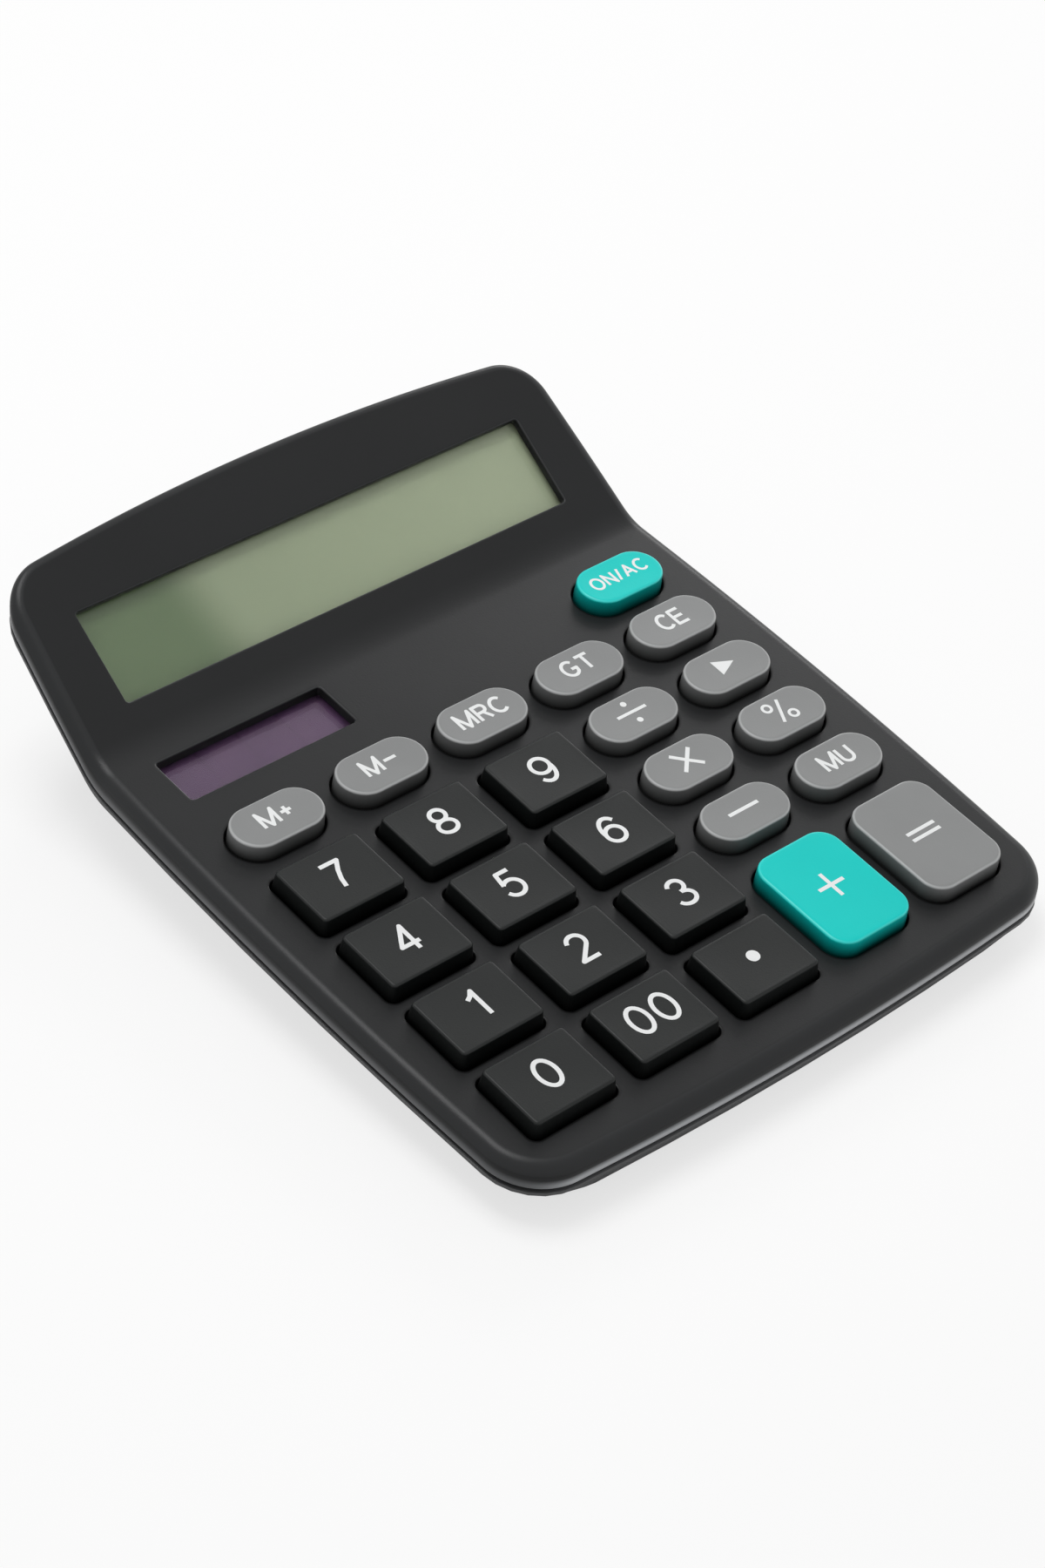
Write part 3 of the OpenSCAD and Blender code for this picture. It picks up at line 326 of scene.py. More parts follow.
def inset(ring, distance):
    """The outline's x and s, moved in square to it."""
    return ring[:, 0] - distance * np.cos(ring[:, 2]), ring[:, 1] - distance * np.sin(ring[:, 2])


def case_rows(ring, profile):
    """Rows of points on the case, one for each (inset, drop) of a profile."""
    return [on_case(*inset(ring, distance), drop) for distance, drop in profile]


def quarter(steps):
    """Pairs of 1 - cos and 1 - sin over a quarter turn, for rounding an edge."""
    turn = np.linspace(0, math.pi / 2, steps + 1)
    return list(zip(1 - np.cos(turn), 1 - np.sin(turn)))


def round_rect(w, l, r, steps, parts=(1, 1)):
    """Anticlockwise loop of a rectangle with round corners, steps to each corner, about the origin. The
    sides along x and y are cut into as many parts."""
    r = min(max(r, SMALLEST_CORNER), l / 2, w / 2)
    turn = np.linspace(0, math.pi / 2, steps + 1)
    corners = [
        np.column_stack([
            cx * (w / 2 - r) + r * np.cos(turn + start),
            cy * (l / 2 - r) + r * np.sin(turn + start),
        ])
        for cx, cy, start in ((1, -1, -math.pi / 2), (1, 1, 0), (-1, 1, math.pi / 2), (-1, -1, math.pi))
    ]
    loop = []
    for corner, following, count in zip(corners, corners[1:] + corners[:1], parts[::-1] * 2):
        share = np.arange(1, count)[:, None] / count
        loop += [corner, corner[-1] + (following[0] - corner[-1]) * share]
    loop = np.concatenate(loop)
    return loop[np.linalg.norm(loop - np.roll(loop, -1, axis=0), axis=1) > TOUCHING]


class Skin:
    """Points and faces gathered from rows and flat regions into one mesh."""

    def __init__(self):
        self.points, self.faces, self.edge, self.count = [], [], [], 0

    def add(self, points, edge=0.0):
        """Adds points and returns the number of the first. edge is 1 where a rounded edge is painted lighter
        as a highlight under a gloss coat, and -1 where a surface is painted darkest as shade."""
        first = self.count
        self.points.append(np.asarray(points, float).reshape(-1, 3))
        self.edge.append(np.full(len(self.points[-1]), edge, float))
        self.count += len(self.points[-1])
        return first

    def strip(self, a, b, n):
        """Quads between two closed rows of n points that start at a and b."""
        i = np.arange(n)
        j = (i + 1) % n
        self.faces += np.column_stack([a + i, a + j, b + j, b + i]).tolist()

    def rows(self, rows, edges=None):
        """A sleeve through closed rows. Returns the numbers of its first and last row."""
        starts = [self.add(row, 0.0 if edges is None else edges[i]) for i, row in enumerate(rows)]
        for a, b in zip(starts, starts[1:]):
            self.strip(a, b, len(rows[0]))
        return starts[0], starts[-1]

    def region(self, outer, holes, lines, up):
        """Triangles that fill a flat outline between its holes, with the lines as fold edges.
        outer and holes are (number of the first point, plane points of the closed row). A triangle
        lies in a hole if its middle is on the left of every side of the hole's convex loop."""
        ids, plane, edges = [], [], []
        for first, loop in [outer] + holes:
            base = len(ids)
            n = len(loop)
            ids += range(first, first + n)
            plane += [Vector(p) for p in loop.tolist()]
            edges += [(base + i, base + (i + 1) % n) for i in range(n)]
        edges += lines
        points, _, triangles, origin, _, _ = delaunay_2d_cdt(plane, edges, [], 0, TOUCHING)
        triangles = np.array(triangles)
        middles = np.array(points)[triangles].mean(axis=1)
        open_area = np.zeros(len(triangles), bool)
        for _, loop in holes:
            side = np.roll(loop, -1, axis=0) - loop
            to_middle = middles[:, None] - loop[None]
            open_area |= (side[:, 0] * to_middle[:, :, 1] > side[:, 1] * to_middle[:, :, 0]).all(axis=1)
        number = np.array([ids[group[0]] for group in origin])
        faces = number[triangles[~open_area]]
        self.faces += (faces if up else faces[:, ::-1]).tolist()

    def build(self, name, material):
        """The mesh object, in metres, with smooth faces that break at sharp edges."""
        mesh = bpy.data.meshes.new(name)
        mesh.from_pydata((np.concatenate(self.points) * MM).tolist(), [], self.faces)
        mesh.attributes.new("edge", "FLOAT", "POINT").data.foreach_set("value", np.concatenate(self.edge))
        mesh.shade_smooth()
        mesh.set_sharp_from_angle(angle=CREASE)
        mesh.materials.append(material)
        return placed(name, mesh)


def grain_group():
    """Shader group for moulded plastic: a fine grain for the bump, a slow mottle for the colour, and
    a roughness that follows the mottle. Sizes are in metres, as Object coordinates are."""
    group = bpy.data.node_groups.new("moulded_grain", "ShaderNodeTree")
    sockets = (("Grain Size", 0.0003), ("Mottle Size", 0.02), ("Roughness", 0.5), ("Roughness Spread", 0.08))
    for label, value in sockets:
        socket = group.interface.new_socket(name=label, in_out="INPUT", socket_type="NodeSocketFloat")
        socket.default_value = value
    for label in ("Mottle", "Roughness", "Height"):
        group.interface.new_socket(name=label, in_out="OUTPUT", socket_type="NodeSocketFloat")
    given = group.nodes.new("NodeGroupInput").outputs
    place = add_node(group, "TexCoord").outputs["Object"]

    def noise(size, detail):
        scale = calculate(group, "DIVIDE", 1.0, size)
        return add_node(group, "TexNoise", {"Vector": place, "Scale": scale, "Detail": detail}).outputs["Fac"]

    mottle = noise(given["Mottle Size"], MOTTLE_DETAIL)
    centred = calculate(group, "SUBTRACT", mottle, 0.5)
    feed(group, group.nodes.new("NodeGroupOutput"), {
        "Mottle": mottle,
        "Roughness": calculate(group, "MULTIPLY_ADD", centred, given["Roughness Spread"], given["Roughness"]),
        "Height": noise(given["Grain Size"], GRAIN_DETAIL),
    })
    return group


GRAIN = grain_group()


def surface_grain(tree, values):
    """The outputs of a moulded grain with these inputs."""
    surface = add_node(tree, "Group", node_tree=GRAIN)
    feed(tree, surface, values)
    return surface.outputs


def blend_colour(tree, factor, first, second):
    """A mix of two colours or colour sockets by a factor socket."""
    mix = add_node(tree, "Mix", {"Factor": factor, "A": first, "B": second}, data_type="RGBA")
    return mix.outputs["Result"]


def bump(tree, height, strength, depth):
    """The normal of a surface with this height, whose full depth is in metres."""
    values = {"Height": height, "Strength": strength, "Distance": depth}
    return add_node(tree, "Bump", values).outputs["Normal"]


def scaled(colour, factor):
    return tuple(min(channel * factor, 1) for channel in colour)


def moulded(
    name, colour, roughness, shine=0.25, grain=0.0003, depth=0.00002, spread=0.08, mottle=0.12, painted_highlight=1.5
):
    """Moulded plastic: mottled colour, grained surface, and marked edges. A positive mark paints the colour
    lighter as a highlight and lays on a gloss coat; a negative mark paints it darker as shade."""
    material, tree, shader = node_material(name)
    surface = surface_grain(tree, {"Grain Size": grain, "Roughness": roughness, "Roughness Spread": spread})
    plain = blend_colour(tree, surface["Mottle"], scaled(colour, 1 - mottle), scaled(colour, 1 + mottle))
    mark = add_node(tree, "Attribute", attribute_name="edge").outputs["Fac"]
    # Marked edges: painted highlight where the mark is positive, painted shade where it is negative
    highlighted = blend_colour(tree, mark, plain, scaled(colour, painted_highlight))
    painted_shade = calculate(tree, "MULTIPLY", mark, -1.0)
    feed(tree, shader, {
        "Base Color": blend_colour(tree, painted_shade, highlighted, scaled(colour, PAINTED_SHADE_SHARE)),
        "Roughness": surface["Roughness"],
        "Specular IOR Level": shine,
        "Coat Weight": calculate(tree, "MAXIMUM", mark, 0.0),
        "Coat Roughness": roughness,
        "Coat IOR": POLISH_IOR,
        "Normal": bump(tree, surface["Height"], GRAIN_STRENGTH, depth),
    })
    return material


# Keypad layout: columns from the left, rows by their distance behind the bend
KEYPAD_SIDE = 16.75
KEYPAD_FRONT = 15.4
FIRST_ROW = 12.8
KEYPAD_LEN = DECK_LEN - KEYPAD_FRONT - FIRST_ROW
COLUMN_PITCH = (CASE_W / 2 - KEYPAD_SIDE) / 2
FUNCTION_PITCH = 0.1715 * KEYPAD_LEN
NUMBER_PITCH = 0.2095 * KEYPAD_LEN
TALL_SPACE = 5.5
TALL_CORNER = 3.5
KEY_FLARE = 0.45
KEY_GAP = 0.3

# Kinds of key: size where it leaves the deck, less its flare, corner radius, colour, how far its rounded
# top edge stands out from that size, how large the rounding is, and how strongly that rounding is painted
# lighter as a highlight, under a gloss coat
NUMBER = {
    "w": COLUMN_PITCH - 5.25, "l": NUMBER_PITCH - 3.7, "r": 0.8, "look": "dark",
    "stand": 0.05, "round": 0.45, "edge_highlight": 0.1,
}
PILL = {
    "w": COLUMN_PITCH - 5.05, "l": FUNCTION_PITCH - 4.93, "r": FUNCTION_PITCH / 2, "look": "grey",
    "stand": 0.33, "round": 0.5, "edge_highlight": 1.0,
}
TEAL_PILL = PILL | {"look": "teal"}


def function_row(i):
    return -FIRST_ROW - i * FUNCTION_PITCH


def number_row(i):
    return KEYPAD_FRONT - DECK_LEN + (3 - i) * NUMBER_PITCH


TALL_FRONT = number_row(3) - NUMBER["l"] / 2
TALL_BACK = function_row(4) - PILL["l"] / 2 - TALL_SPACE
TALL_ROW = (TALL_FRONT + TALL_BACK) / 2
TALL = PILL | {"l": TALL_BACK - TALL_FRONT, "r": TALL_CORNER}
TEAL_TALL = TALL | {"look": "teal"}

# Every key as (name, column, place behind the bend, kind, legend)
KEYS = [
    ("key_on", 4, function_row(0), TEAL_PILL, "ON/AC"),
    ("key_m_plus", 0, function_row(1), PILL, "M+"),
    ("key_m_minus", 1, function_row(1), PILL, "M−"),
    ("key_mrc", 2, function_row(1), PILL, "MRC"),
    ("key_gt", 3, function_row(1), PILL, "GT"),
    ("key_ce", 4, function_row(1), PILL, "CE"),
    ("key_divide", 3, function_row(2), PILL, "divide"),
    ("key_backspace", 4, function_row(2), PILL, "triangle"),
    ("key_multiply", 3, function_row(3), PILL, "multiply"),
    ("key_percent", 4, function_row(3), PILL, "percent"),
    ("key_minus", 3, function_row(4), PILL, "minus"),
    ("key_mu", 4, function_row(4), PILL, "MU"),
    ("key_plus", 3, TALL_ROW, TEAL_TALL, "plus"),
    ("key_equals", 4, TALL_ROW, TALL, "equals"),
    ("key_0", 0, number_row(3), NUMBER, "0"),
    ("key_00", 1, number_row(3), NUMBER, "00"),
    ("key_point", 2, number_row(3), NUMBER, "point"),
] + [
    (f"key_{7 - 3 * row + column}", column, number_row(row), NUMBER, str(7 - 3 * row + column))
    for row in range(3) for column in range(3)
]

WINDOW_W, WINDOW_L, WINDOW_S = 94.1, 16.8, 15.9
SOLAR_W, SOLAR_L, SOLAR_X, SOLAR_S = 33.4, 9.8, -32.7, -9.0
WINDOW_R = 0.6


def column_x(column):
    return (column - 2) * COLUMN_PITCH


# Openings as (x, place, width, length, corner radius, slope)
OPENINGS = [
    (
        column_x(column), s, kind["w"] + 2 * (KEY_FLARE + KEY_GAP), kind["l"] + 2 * (KEY_FLARE + KEY_GAP),
        kind["r"] + KEY_FLARE + KEY_GAP, DECK_SLOPE,
    )
    for _, column, s, kind, _ in KEYS
] + [
    (0.0, WINDOW_S, WINDOW_W, WINDOW_L, WINDOW_R, DISPLAY_SLOPE),
    (SOLAR_X, SOLAR_S, SOLAR_W, SOLAR_L, WINDOW_R, DECK_SLOPE),
]


def fold_lines(ring):
    """Pairs of opposite points of a mirrored outline that lie on the bend, clear of its first line."""
    n = len(ring)
    return [(i, n - i) for i in range(1, n // 2) if GUARD - BEND_L < ring[i, 1] < BEND_L + GUARD]


def upper_shell(material):
    """Outer wall, rounded rim and top face, the openings' rounded edges and walls, then the inside.
    The rim is a quarter turn: inset r(1 - cos a), drop r(1 - sin a). The wall's foot is painted lighter
    as a highlight, under a gloss coat, by the eighth power of the sine of its heading: most at the front
    and back, little at the sides."""
    skin = Skin()
    ring = outline(CASE_PLAN)
    n = len(ring)
    foot = [(EDGE_ROUND * b, PARTING_DROP - EDGE_ROUND * a) for a, b in quarter(FOOT_STEPS)]
    foot += [(0.0, PARTING_DROP - HIGHLIGHT_BAND_H)]
    rim = [(RIM_R * a, RIM_R * b) for a, b in quarter(RIM_STEPS)]
    outside = foot + rim + [(RIM_R + GUARD, 0)]
    band_highlight = SIDE_HIGHLIGHT + (1 - SIDE_HIGHLIGHT) * np.sin(ring[:, 2]) ** 8
    marks = [band_highlight] * len(foot) + [0.0] * 3 + [RIM_MARK] * (len(rim) - 4) + [0.0] * 2
    foot_row, top_row = skin.rows(case_rows(ring, outside), marks)
    roof_inset = WALL + INNER_BEVEL[0]
    inside = [(roof_inset, PLATE_DROP), (WALL, PLATE_DROP + INNER_BEVEL[1]), (WALL, PARTING_DROP)]
    roof_row, inner_foot = skin.rows(case_rows(ring, inside))
    skin.strip(inner_foot, foot_row, n)
    top_holes, roof_holes = [], []
    for x, s, w, l, r, slope in OPENINGS:
        depth = PLATE_T if slope == DECK_SLOPE else DISPLAY_PLATE_T
        rounding = [(EDGE_ROUND * b, -EDGE_ROUND * a) for a, b in quarter(OPENING_EDGE_STEPS)]
        profile = [(EDGE_ROUND + GUARD, 0.0)] + rounding + [(0.0, -depth)]
        # The deck round a key's opening is painted darker as shade; a window's edge is painted a little
        # lighter as a highlight.
        if r > WINDOW_R:
            steps, marks = KEY_OPENING_STEPS, [0.0] + [KEY_OPENING_MARK] * (len(rounding) + 1)
        else:
            steps, marks = WINDOW_STEPS, [0.0, 0.0] + [WINDOW_MARK] * (len(rounding) - 2) + [0.0] * 2
        loops = [round_rect(w + 2 * grow, l + 2 * grow, r + grow, steps) + [x, s] for grow, _ in profile]
        rows = [on_slope(loop[:, 0], loop[:, 1], height, slope) for loop, (_, height) in zip(loops, profile)]
        first, last = skin.rows(rows, marks)
        top_holes.append((first, loops[0]))
        roof_holes.append((last, loops[-1]))
    lines = fold_lines(ring)
    top_plane = np.column_stack(inset(ring, RIM_R + GUARD))
    roof_plane = np.column_stack(inset(ring, roof_inset))
    skin.region((top_row, top_plane), top_holes, lines, True)
    skin.region((roof_row, roof_plane), roof_holes, lines, False)
    return skin.build("upper_shell", material)


CHARCOAL = (0.0152, 0.0158, 0.0166)
charcoal = moulded("charcoal_abs", CHARCOAL, roughness=0.33, shine=0.18, painted_highlight=26)
shell = upper_shell(charcoal)
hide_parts("upper_case")
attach(shell, "case")

# ------------------------------------------------------------------ lower case and battery door
# The bottom half of the housing and the sliding door of its battery bay, moulded in the same plastic,
# their colour painted a shade lighter for the light that the desk throws up on them. The lip under the
# parting groove follows the upper case, and straight flanks run down from it to a smaller flat base.

# The charcoal plastic, painted lighter as light from the desk below
BASE_COLOUR_PAINTED_LIGHTER = (0.046, 0.047, 0.049)
DOOR_ROUND = 0.15
WELD_GAP = 0.002        # corners of a solid's triangles closer than this are joined
BEVEL_FROM = math.radians(40)   # edges sharper than this are rounded
SPLIT_FROM = math.radians(30)   # and edges sharper than this stay crisp
base_plastic = moulded("base_abs", BASE_COLOUR_PAINTED_LIGHTER, roughness=0.42, shine=0.6)


def dress(node, material, rounding=0.0):
    """Gives a CAD node its material, and welds, rounds and smooths it by modifiers alone."""
    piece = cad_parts[node]
    piece.data.materials.clear()
    piece.data.materials.append(material)
    piece.data.polygons.foreach_set("use_smooth", np.ones(len(piece.data.polygons), bool))
    weld = piece.modifiers.new("weld", "WELD")
    weld.merge_threshold = WELD_GAP * MM
    if rounding:
        bevel = piece.modifiers.new("rounded_edges", "BEVEL")
        bevel.width = rounding * MM
        bevel.segments = 2
        bevel.limit_method = "ANGLE"
        bevel.angle_limit = BEVEL_FROM
        bevel.harden_normals = False
    split = piece.modifiers.new("sharp_edges", "EDGE_SPLIT")
    split.split_angle = SPLIT_FROM


dress("lower_case", base_plastic)
dress("battery_door", base_plastic, DOOR_ROUND)

# ------------------------------------------------------------------ keys
# Double-shot ABS caps with printed legends: square number keys in the case's charcoal, pill-shaped
# function keys in grey, and two teal ones. Each has a rounded top edge over a straight skirt, is hollow
# below, and slides in its opening on a silicone dome.

KEY_H = 2.9             # of a key's top above the deck
KEY_BOTTOM = 2.7        # of its lower end below the deck
KEY_FOOT = 0.2          # of the end of its straight skirt below the deck
KEY_WALL = 1.3
KEY_ROOF = 1.4
KEY_DISH = 0.12         # how far the middle of a key's top is dished
KEY_TOP_STEP = 1.5      # longest side of a face on a key's top
KEY_TOP_LOOPS = np.linspace(0.97, 0.07, 11)     # sizes of the loops across a top, as shares of its edge
POCKET_LOOP = 0.5       # size of the one loop across the roof of the pocket below
KEY_EDGE_STEPS = 8
NUMBER_CORNER_STEPS = 5
PILL_CORNER_STEPS = 16
KEY_FOOT_MARK = -1.0    # darkest painted shade, at the skirt's foot, fading to none at its top edge


def dished(x, y, kind):
    """Height of a key's top: level at its edge, lower towards the middle by a product of parabolas."""
    across = 1 - np.clip(np.abs(x) / (kind["w"] / 2), 0, 1) ** 2
    along = 1 - np.clip(np.abs(y) / (kind["l"] / 2), 0, 1) ** 2
    return KEY_H - KEY_DISH * across * along


def key_cap(name, x, s, kind, material):
    """Skirt, rounded top edge, dished top in shrinking loops, then the hollow underside."""
    skin = Skin()
    steps = NUMBER_CORNER_STEPS if kind is NUMBER else PILL_CORNER_STEPS
    corner = min(kind["r"], kind["l"] / 2)
    parts = tuple(max(1, math.ceil((kind[side] - 2 * corner) / KEY_TOP_STEP)) for side in ("w", "l"))

    def loop(grow, height, shrink=1.0):
        plan = round_rect(kind["w"] + 2 * grow, kind["l"] + 2 * grow, kind["r"] + grow, steps, parts) * shrink
        if height is None:
            height = dished(plan[:, 0], plan[:, 1], kind)
        return on_slope(plan[:, 0] + x, plan[:, 1] + s, height, DECK_SLOPE)

    stand, edge_r = kind["stand"], kind["round"]
    rounding = [(stand - edge_r * a, KEY_H - edge_r * b) for a, b in quarter(KEY_EDGE_STEPS)]
    rows = [loop(KEY_FLARE, -KEY_BOTTOM), loop(KEY_FLARE, -KEY_FOOT)]
    rows += [loop(grow, height) for grow, height in rounding]
    # The skirt is painted darker as shade towards its foot, and the top edge lighter as a highlight under a
    # gloss coat.
    edge_highlight = kind["edge_highlight"] * np.sin(np.linspace(0, math.pi, len(rounding))) ** 2
    rows += [loop(-edge_r, None, shrink) for shrink in KEY_TOP_LOOPS]
    marks = [KEY_FOOT_MARK] * 2 + [*edge_highlight] + [0.0] * len(KEY_TOP_LOOPS)
    first, last = skin.rows(rows, marks)
    n = len(rows[0])
    centre = skin.add(on_slope(x, s, dished(0.0, 0.0, kind), DECK_SLOPE))
    i = np.arange(n)
    skin.faces += np.column_stack([last + i, last + (i + 1) % n, np.full(n, centre)]).tolist()
    pocket = KEY_FLARE - KEY_WALL
    roof_h = KEY_H - KEY_ROOF
    inside = [loop(pocket, roof_h, POCKET_LOOP), loop(pocket, roof_h), loop(pocket, -KEY_BOTTOM)]
    roof, rim = skin.rows(inside)
    skin.strip(rim, first, n)
    roof_centre = skin.add(on_slope(x, s, roof_h, DECK_SLOPE))
    skin.faces += np.column_stack([roof + (i + 1) % n, roof + i, np.full(n, roof_centre)]).tolist()
    return skin.build(name, material)


KEY_LOOKS = {
    "dark": moulded("key_charcoal", (0.0085, 0.0100, 0.0098), roughness=0.38, shine=0.2),
    "grey": moulded("key_grey", (0.242, 0.247, 0.247), roughness=0.44, painted_highlight=1.9),
    "teal": moulded("key_teal", (0.002, 0.620, 0.575), roughness=0.40, shine=0.15, mottle=0.06, painted_highlight=1.3),
}

for name, column, s, kind, _ in KEYS:
    cap = key_cap(f"{name}_cap", column_x(column), s, kind, KEY_LOOKS[kind["look"]])
    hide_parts(name)
    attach(cap, name)

# ------------------------------------------------------------------ key legends
# White pad-printed figures, letters and signs, a few hundredths of a millimetre thick, on the keys'
# tops. A plain sans serif is drawn as strokes of even width, a little behind the middle of each key.

LEGEND_LIFT = 0.015     # of the print's face above the key's top
LEGEND_T = 0.02         # thickness of the ink
LEGEND_BACK = 0.5       # how far the print lies behind the middle of the key
FIGURES = {"height": 5.3, "stroke": 0.76}
WORDS = {"height": 3.3, "stroke": 0.62}
LONG_WORDS = {"height": 2.6, "stroke": 0.48}
LETTER_GAP = 0.3        # between the strokes' middles, for letters one unit high
SHARP_TURN = 0.7        # cosine of a bend, below which its strokes join by a disc
CURVE_STEP = 12         # degrees between two points of a curve
DISC_END = 345          # degrees at which a disc's last point lies, one step short of its first
INK_TOUCHING = 1e-5     # points of the print closer than this are one


def curve(x, y, rx, ry, start, end):
    """Points along an ellipse about x, y, from one angle to another in degrees."""
    turn = np.radians(np.linspace(start, end, 2 + round(abs(end - start) / CURVE_STEP)))
    return list(zip(x + rx * np.cos(turn), y + ry * np.sin(turn)))


def disc(r, x=0.0, y=0.0):
    return curve(x, y, r, r, 0, DISC_END)


# The middle lines of each letter's strokes, on a base line at 0 and one unit high
LETTERS = {
    "0": [curve(0.33, 0.5, 0.33, 0.5, 0, 360)],
    "1": [[(0.40, 0), (0.40, 1), (0.27, 0.84), (0.10, 0.74)]],
    "2": [curve(0.33, 0.71, 0.30, 0.29, 168, -40) + [(0.02, 0), (0.64, 0)]],
    "3": [curve(0.31, 0.76, 0.27, 0.24, 165, -90), curve(0.32, 0.26, 0.32, 0.26, 90, -165)],
    "4": [[(0.47, 0), (0.47, 1), (0, 0.27), (0.66, 0.27)]],
    "5": [[(0.58, 1), (0.13, 1), (0.06, 0.51)], curve(0.31, 0.325, 0.33, 0.325, 140, -160)],
    "6": [curve(0.33, 0.32, 0.32, 0.32, 0, 360), curve(0.36, 0.5, 0.35, 0.5, 40, 195)],
    "7": [[(0, 1), (0.64, 1), (0.43, 0.65), (0.29, 0.31), (0.23, 0)]],
    "8": [curve(0.32, 0.76, 0.26, 0.24, 0, 360), curve(0.32, 0.26, 0.32, 0.26, 0, 360)],
    "9": [curve(0.31, 0.68, 0.32, 0.32, 0, 360), curve(0.28, 0.5, 0.35, 0.5, 220, 375)],
    "A": [[(0, 0), (0.38, 1), (0.76, 0)], [(0.13, 0.33), (0.63, 0.33)]],
    "C": [curve(0.40, 0.5, 0.40, 0.5, 45, 315)],
    "E": [[(0.64, 1), (0, 1), (0, 0), (0.66, 0)], [(0, 0.52), (0.60, 0.52)]],
    "G": [curve(0.42, 0.5, 0.42, 0.5, 45, 325) + [(0.80, 0.45), (0.48, 0.45)]],
    "M": [[(0, 0), (0, 1), (0.45, 0), (0.90, 1), (0.90, 0)]],
    "N": [[(0, 0), (0, 1), (0.70, 0), (0.70, 1)]],
    "O": [curve(0.42, 0.5, 0.42, 0.5, 0, 360)],
    "R": [
        [(0, 0), (0, 1)] + curve(0.40, 0.76, 0.24, 0.24, 90, -90) + [(0, 0.52)],
        [(0.38, 0.52), (0.66, 0)],
    ],
    "T": [[(0, 1), (0.76, 1)], [(0.38, 1), (0.38, 0)]],
    "U": [[(0, 1)] + curve(0.34, 0.34, 0.34, 0.34, 180, 360) + [(0.68, 1)]],
    "/": [[(0, 0), (0.30, 1)]],
    "+": [[(0, 0.47), (0.58, 0.47)], [(0.29, 0.18), (0.29, 0.76)]],
    "−": [[(0, 0.5), (0.72, 0.5)]],
}


def inked(path, width):
    """Convex patches along a path: quads that share mitred ends at a gentle bend, discs at a sharp one."""
    path = np.array(path, float)
    closed = np.allclose(path[0], path[-1])
    step = np.diff(path, axis=0)
    step /= np.linalg.norm(step, axis=1, keepdims=True)
    square = np.column_stack([-step[:, 1], step[:, 0]]) * width / 2
    patches = []
    for i in range(len(step)):
        corners = []
        for point, other in ((path[i], i - 1), (path[i + 1], i + 1)):
            joined = closed or 0 <= other < len(step)
            beside = square[other % len(step)] if joined else square[i]
            bend = square[i] @ beside / (width / 2) ** 2
            if bend < SHARP_TURN:
                patches.append(disc(width / 2, *point))
                beside, bend = square[i], 1
            mitre = (square[i] + beside) / (1 + bend)
            corners.append((point - mitre, point + mitre))
        (a, b), (c, d) = corners
        patches.append([a, c, d, b])
    return patches


def word(text, height, stroke):
    """The patches of a line of type, centred on the origin."""
    paths, x = [], 0.0
    for letter in text:
        letter_paths = [np.array(path) + [x, 0] for path in LETTERS[letter]]
        paths += letter_paths
        x = max(path[:, 0].max() for path in letter_paths) + LETTER_GAP
    shift = np.array([x - LETTER_GAP, 1]) / 2
    return [patch for path in paths for patch in inked((path - shift) * height, stroke)]


# Signs in millimetres about the middle of their key: strokes with their widths, discs, and a triangle
SIGNS = {
    "divide": inked([(-3.1, 0), (3.1, 0)], 0.62) + [disc(0.56, 0, 2.1), disc(0.56, 0, -2.1)],
    "multiply": inked([(-2.1, 2.1), (2.1, -2.1)], 0.7) + inked([(-2.1, -2.1), (2.1, 2.1)], 0.7),
    "minus": inked([(-3.2, 0), (3.2, 0)], 0.68),
    "plus": inked([(-2.7, 0), (2.7, 0)], 0.7) + inked([(0, -2.7), (0, 2.7)], 0.7),
    "equals": inked([(-3.1, 0.95), (3.1, 0.95)], 0.68) + inked([(-3.1, -0.55), (3.1, -0.55)], 0.68),
    "point": [disc(1.15)],
    "triangle": [[(-1.9, -1.75), (1.9, 0.0), (-1.9, 1.75)]],
    "percent": inked([(-1.2, -2.4), (1.2, 2.4)], 0.58)
    + inked(curve(-1.65, 1.55, 0.8, 0.8, 0, 360), 0.52) + inked(curve(1.65, -1.55, 0.8, 0.8, 0, 360), 0.52),
}


def merged(patches):
    """The points and triangles of the area that convex patches cover together."""
    points = [Vector(point) for patch in patches for point in patch]
    ends = np.cumsum([len(patch) for patch in patches])
    faces = [list(range(end - len(patch), end)) for end, patch in zip(ends, patches)]
    points, _, triangles, _, _, covered = delaunay_2d_cdt(points, [], faces, 0, INK_TOUCHING)
    return np.array(points), [triangle for triangle, by in zip(triangles, covered) if by]


def legend(name, x, s, kind, text, material):
    """The print follows the dish of the key's top and has a thin edge of its own."""
    if text in SIGNS:
        patches = SIGNS[text]
    elif kind is NUMBER:
        patches = word(text, **FIGURES)
    else:
        patches = word(text, **(WORDS if len(text) < 4 else LONG_WORDS))
    plane, faces = merged(patches)
    plane[:, 1] += LEGEND_BACK
    height = dished(plane[:, 0], plane[:, 1], kind) + LEGEND_LIFT
    points = on_slope(plane[:, 0] + x, plane[:, 1] + s, height, DECK_SLOPE) * MM
    mesh = bpy.data.meshes.new(name)
    mesh.from_pydata(points.tolist(), [], faces)
    mesh.materials.append(material)
    piece = placed(name, mesh)
    thick = piece.modifiers.new("ink", "SOLIDIFY")
    thick.thickness = LEGEND_T * MM
    thick.offset = -1
    return piece


ink = moulded("white_ink", (0.86, 0.87, 0.87), roughness=0.5, mottle=0.05)
for name, column, s, kind, text in KEYS:
    print_piece = legend(f"{name}_legend", column_x(column), s, kind, text, ink)
    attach(print_piece, name)

# ------------------------------------------------------------------ display
# A clear acrylic lens under the window, and behind it the two glass plates of a reflective LCD with a
# grey-green polariser. The panel is darker towards its left end, where less light reaches it.

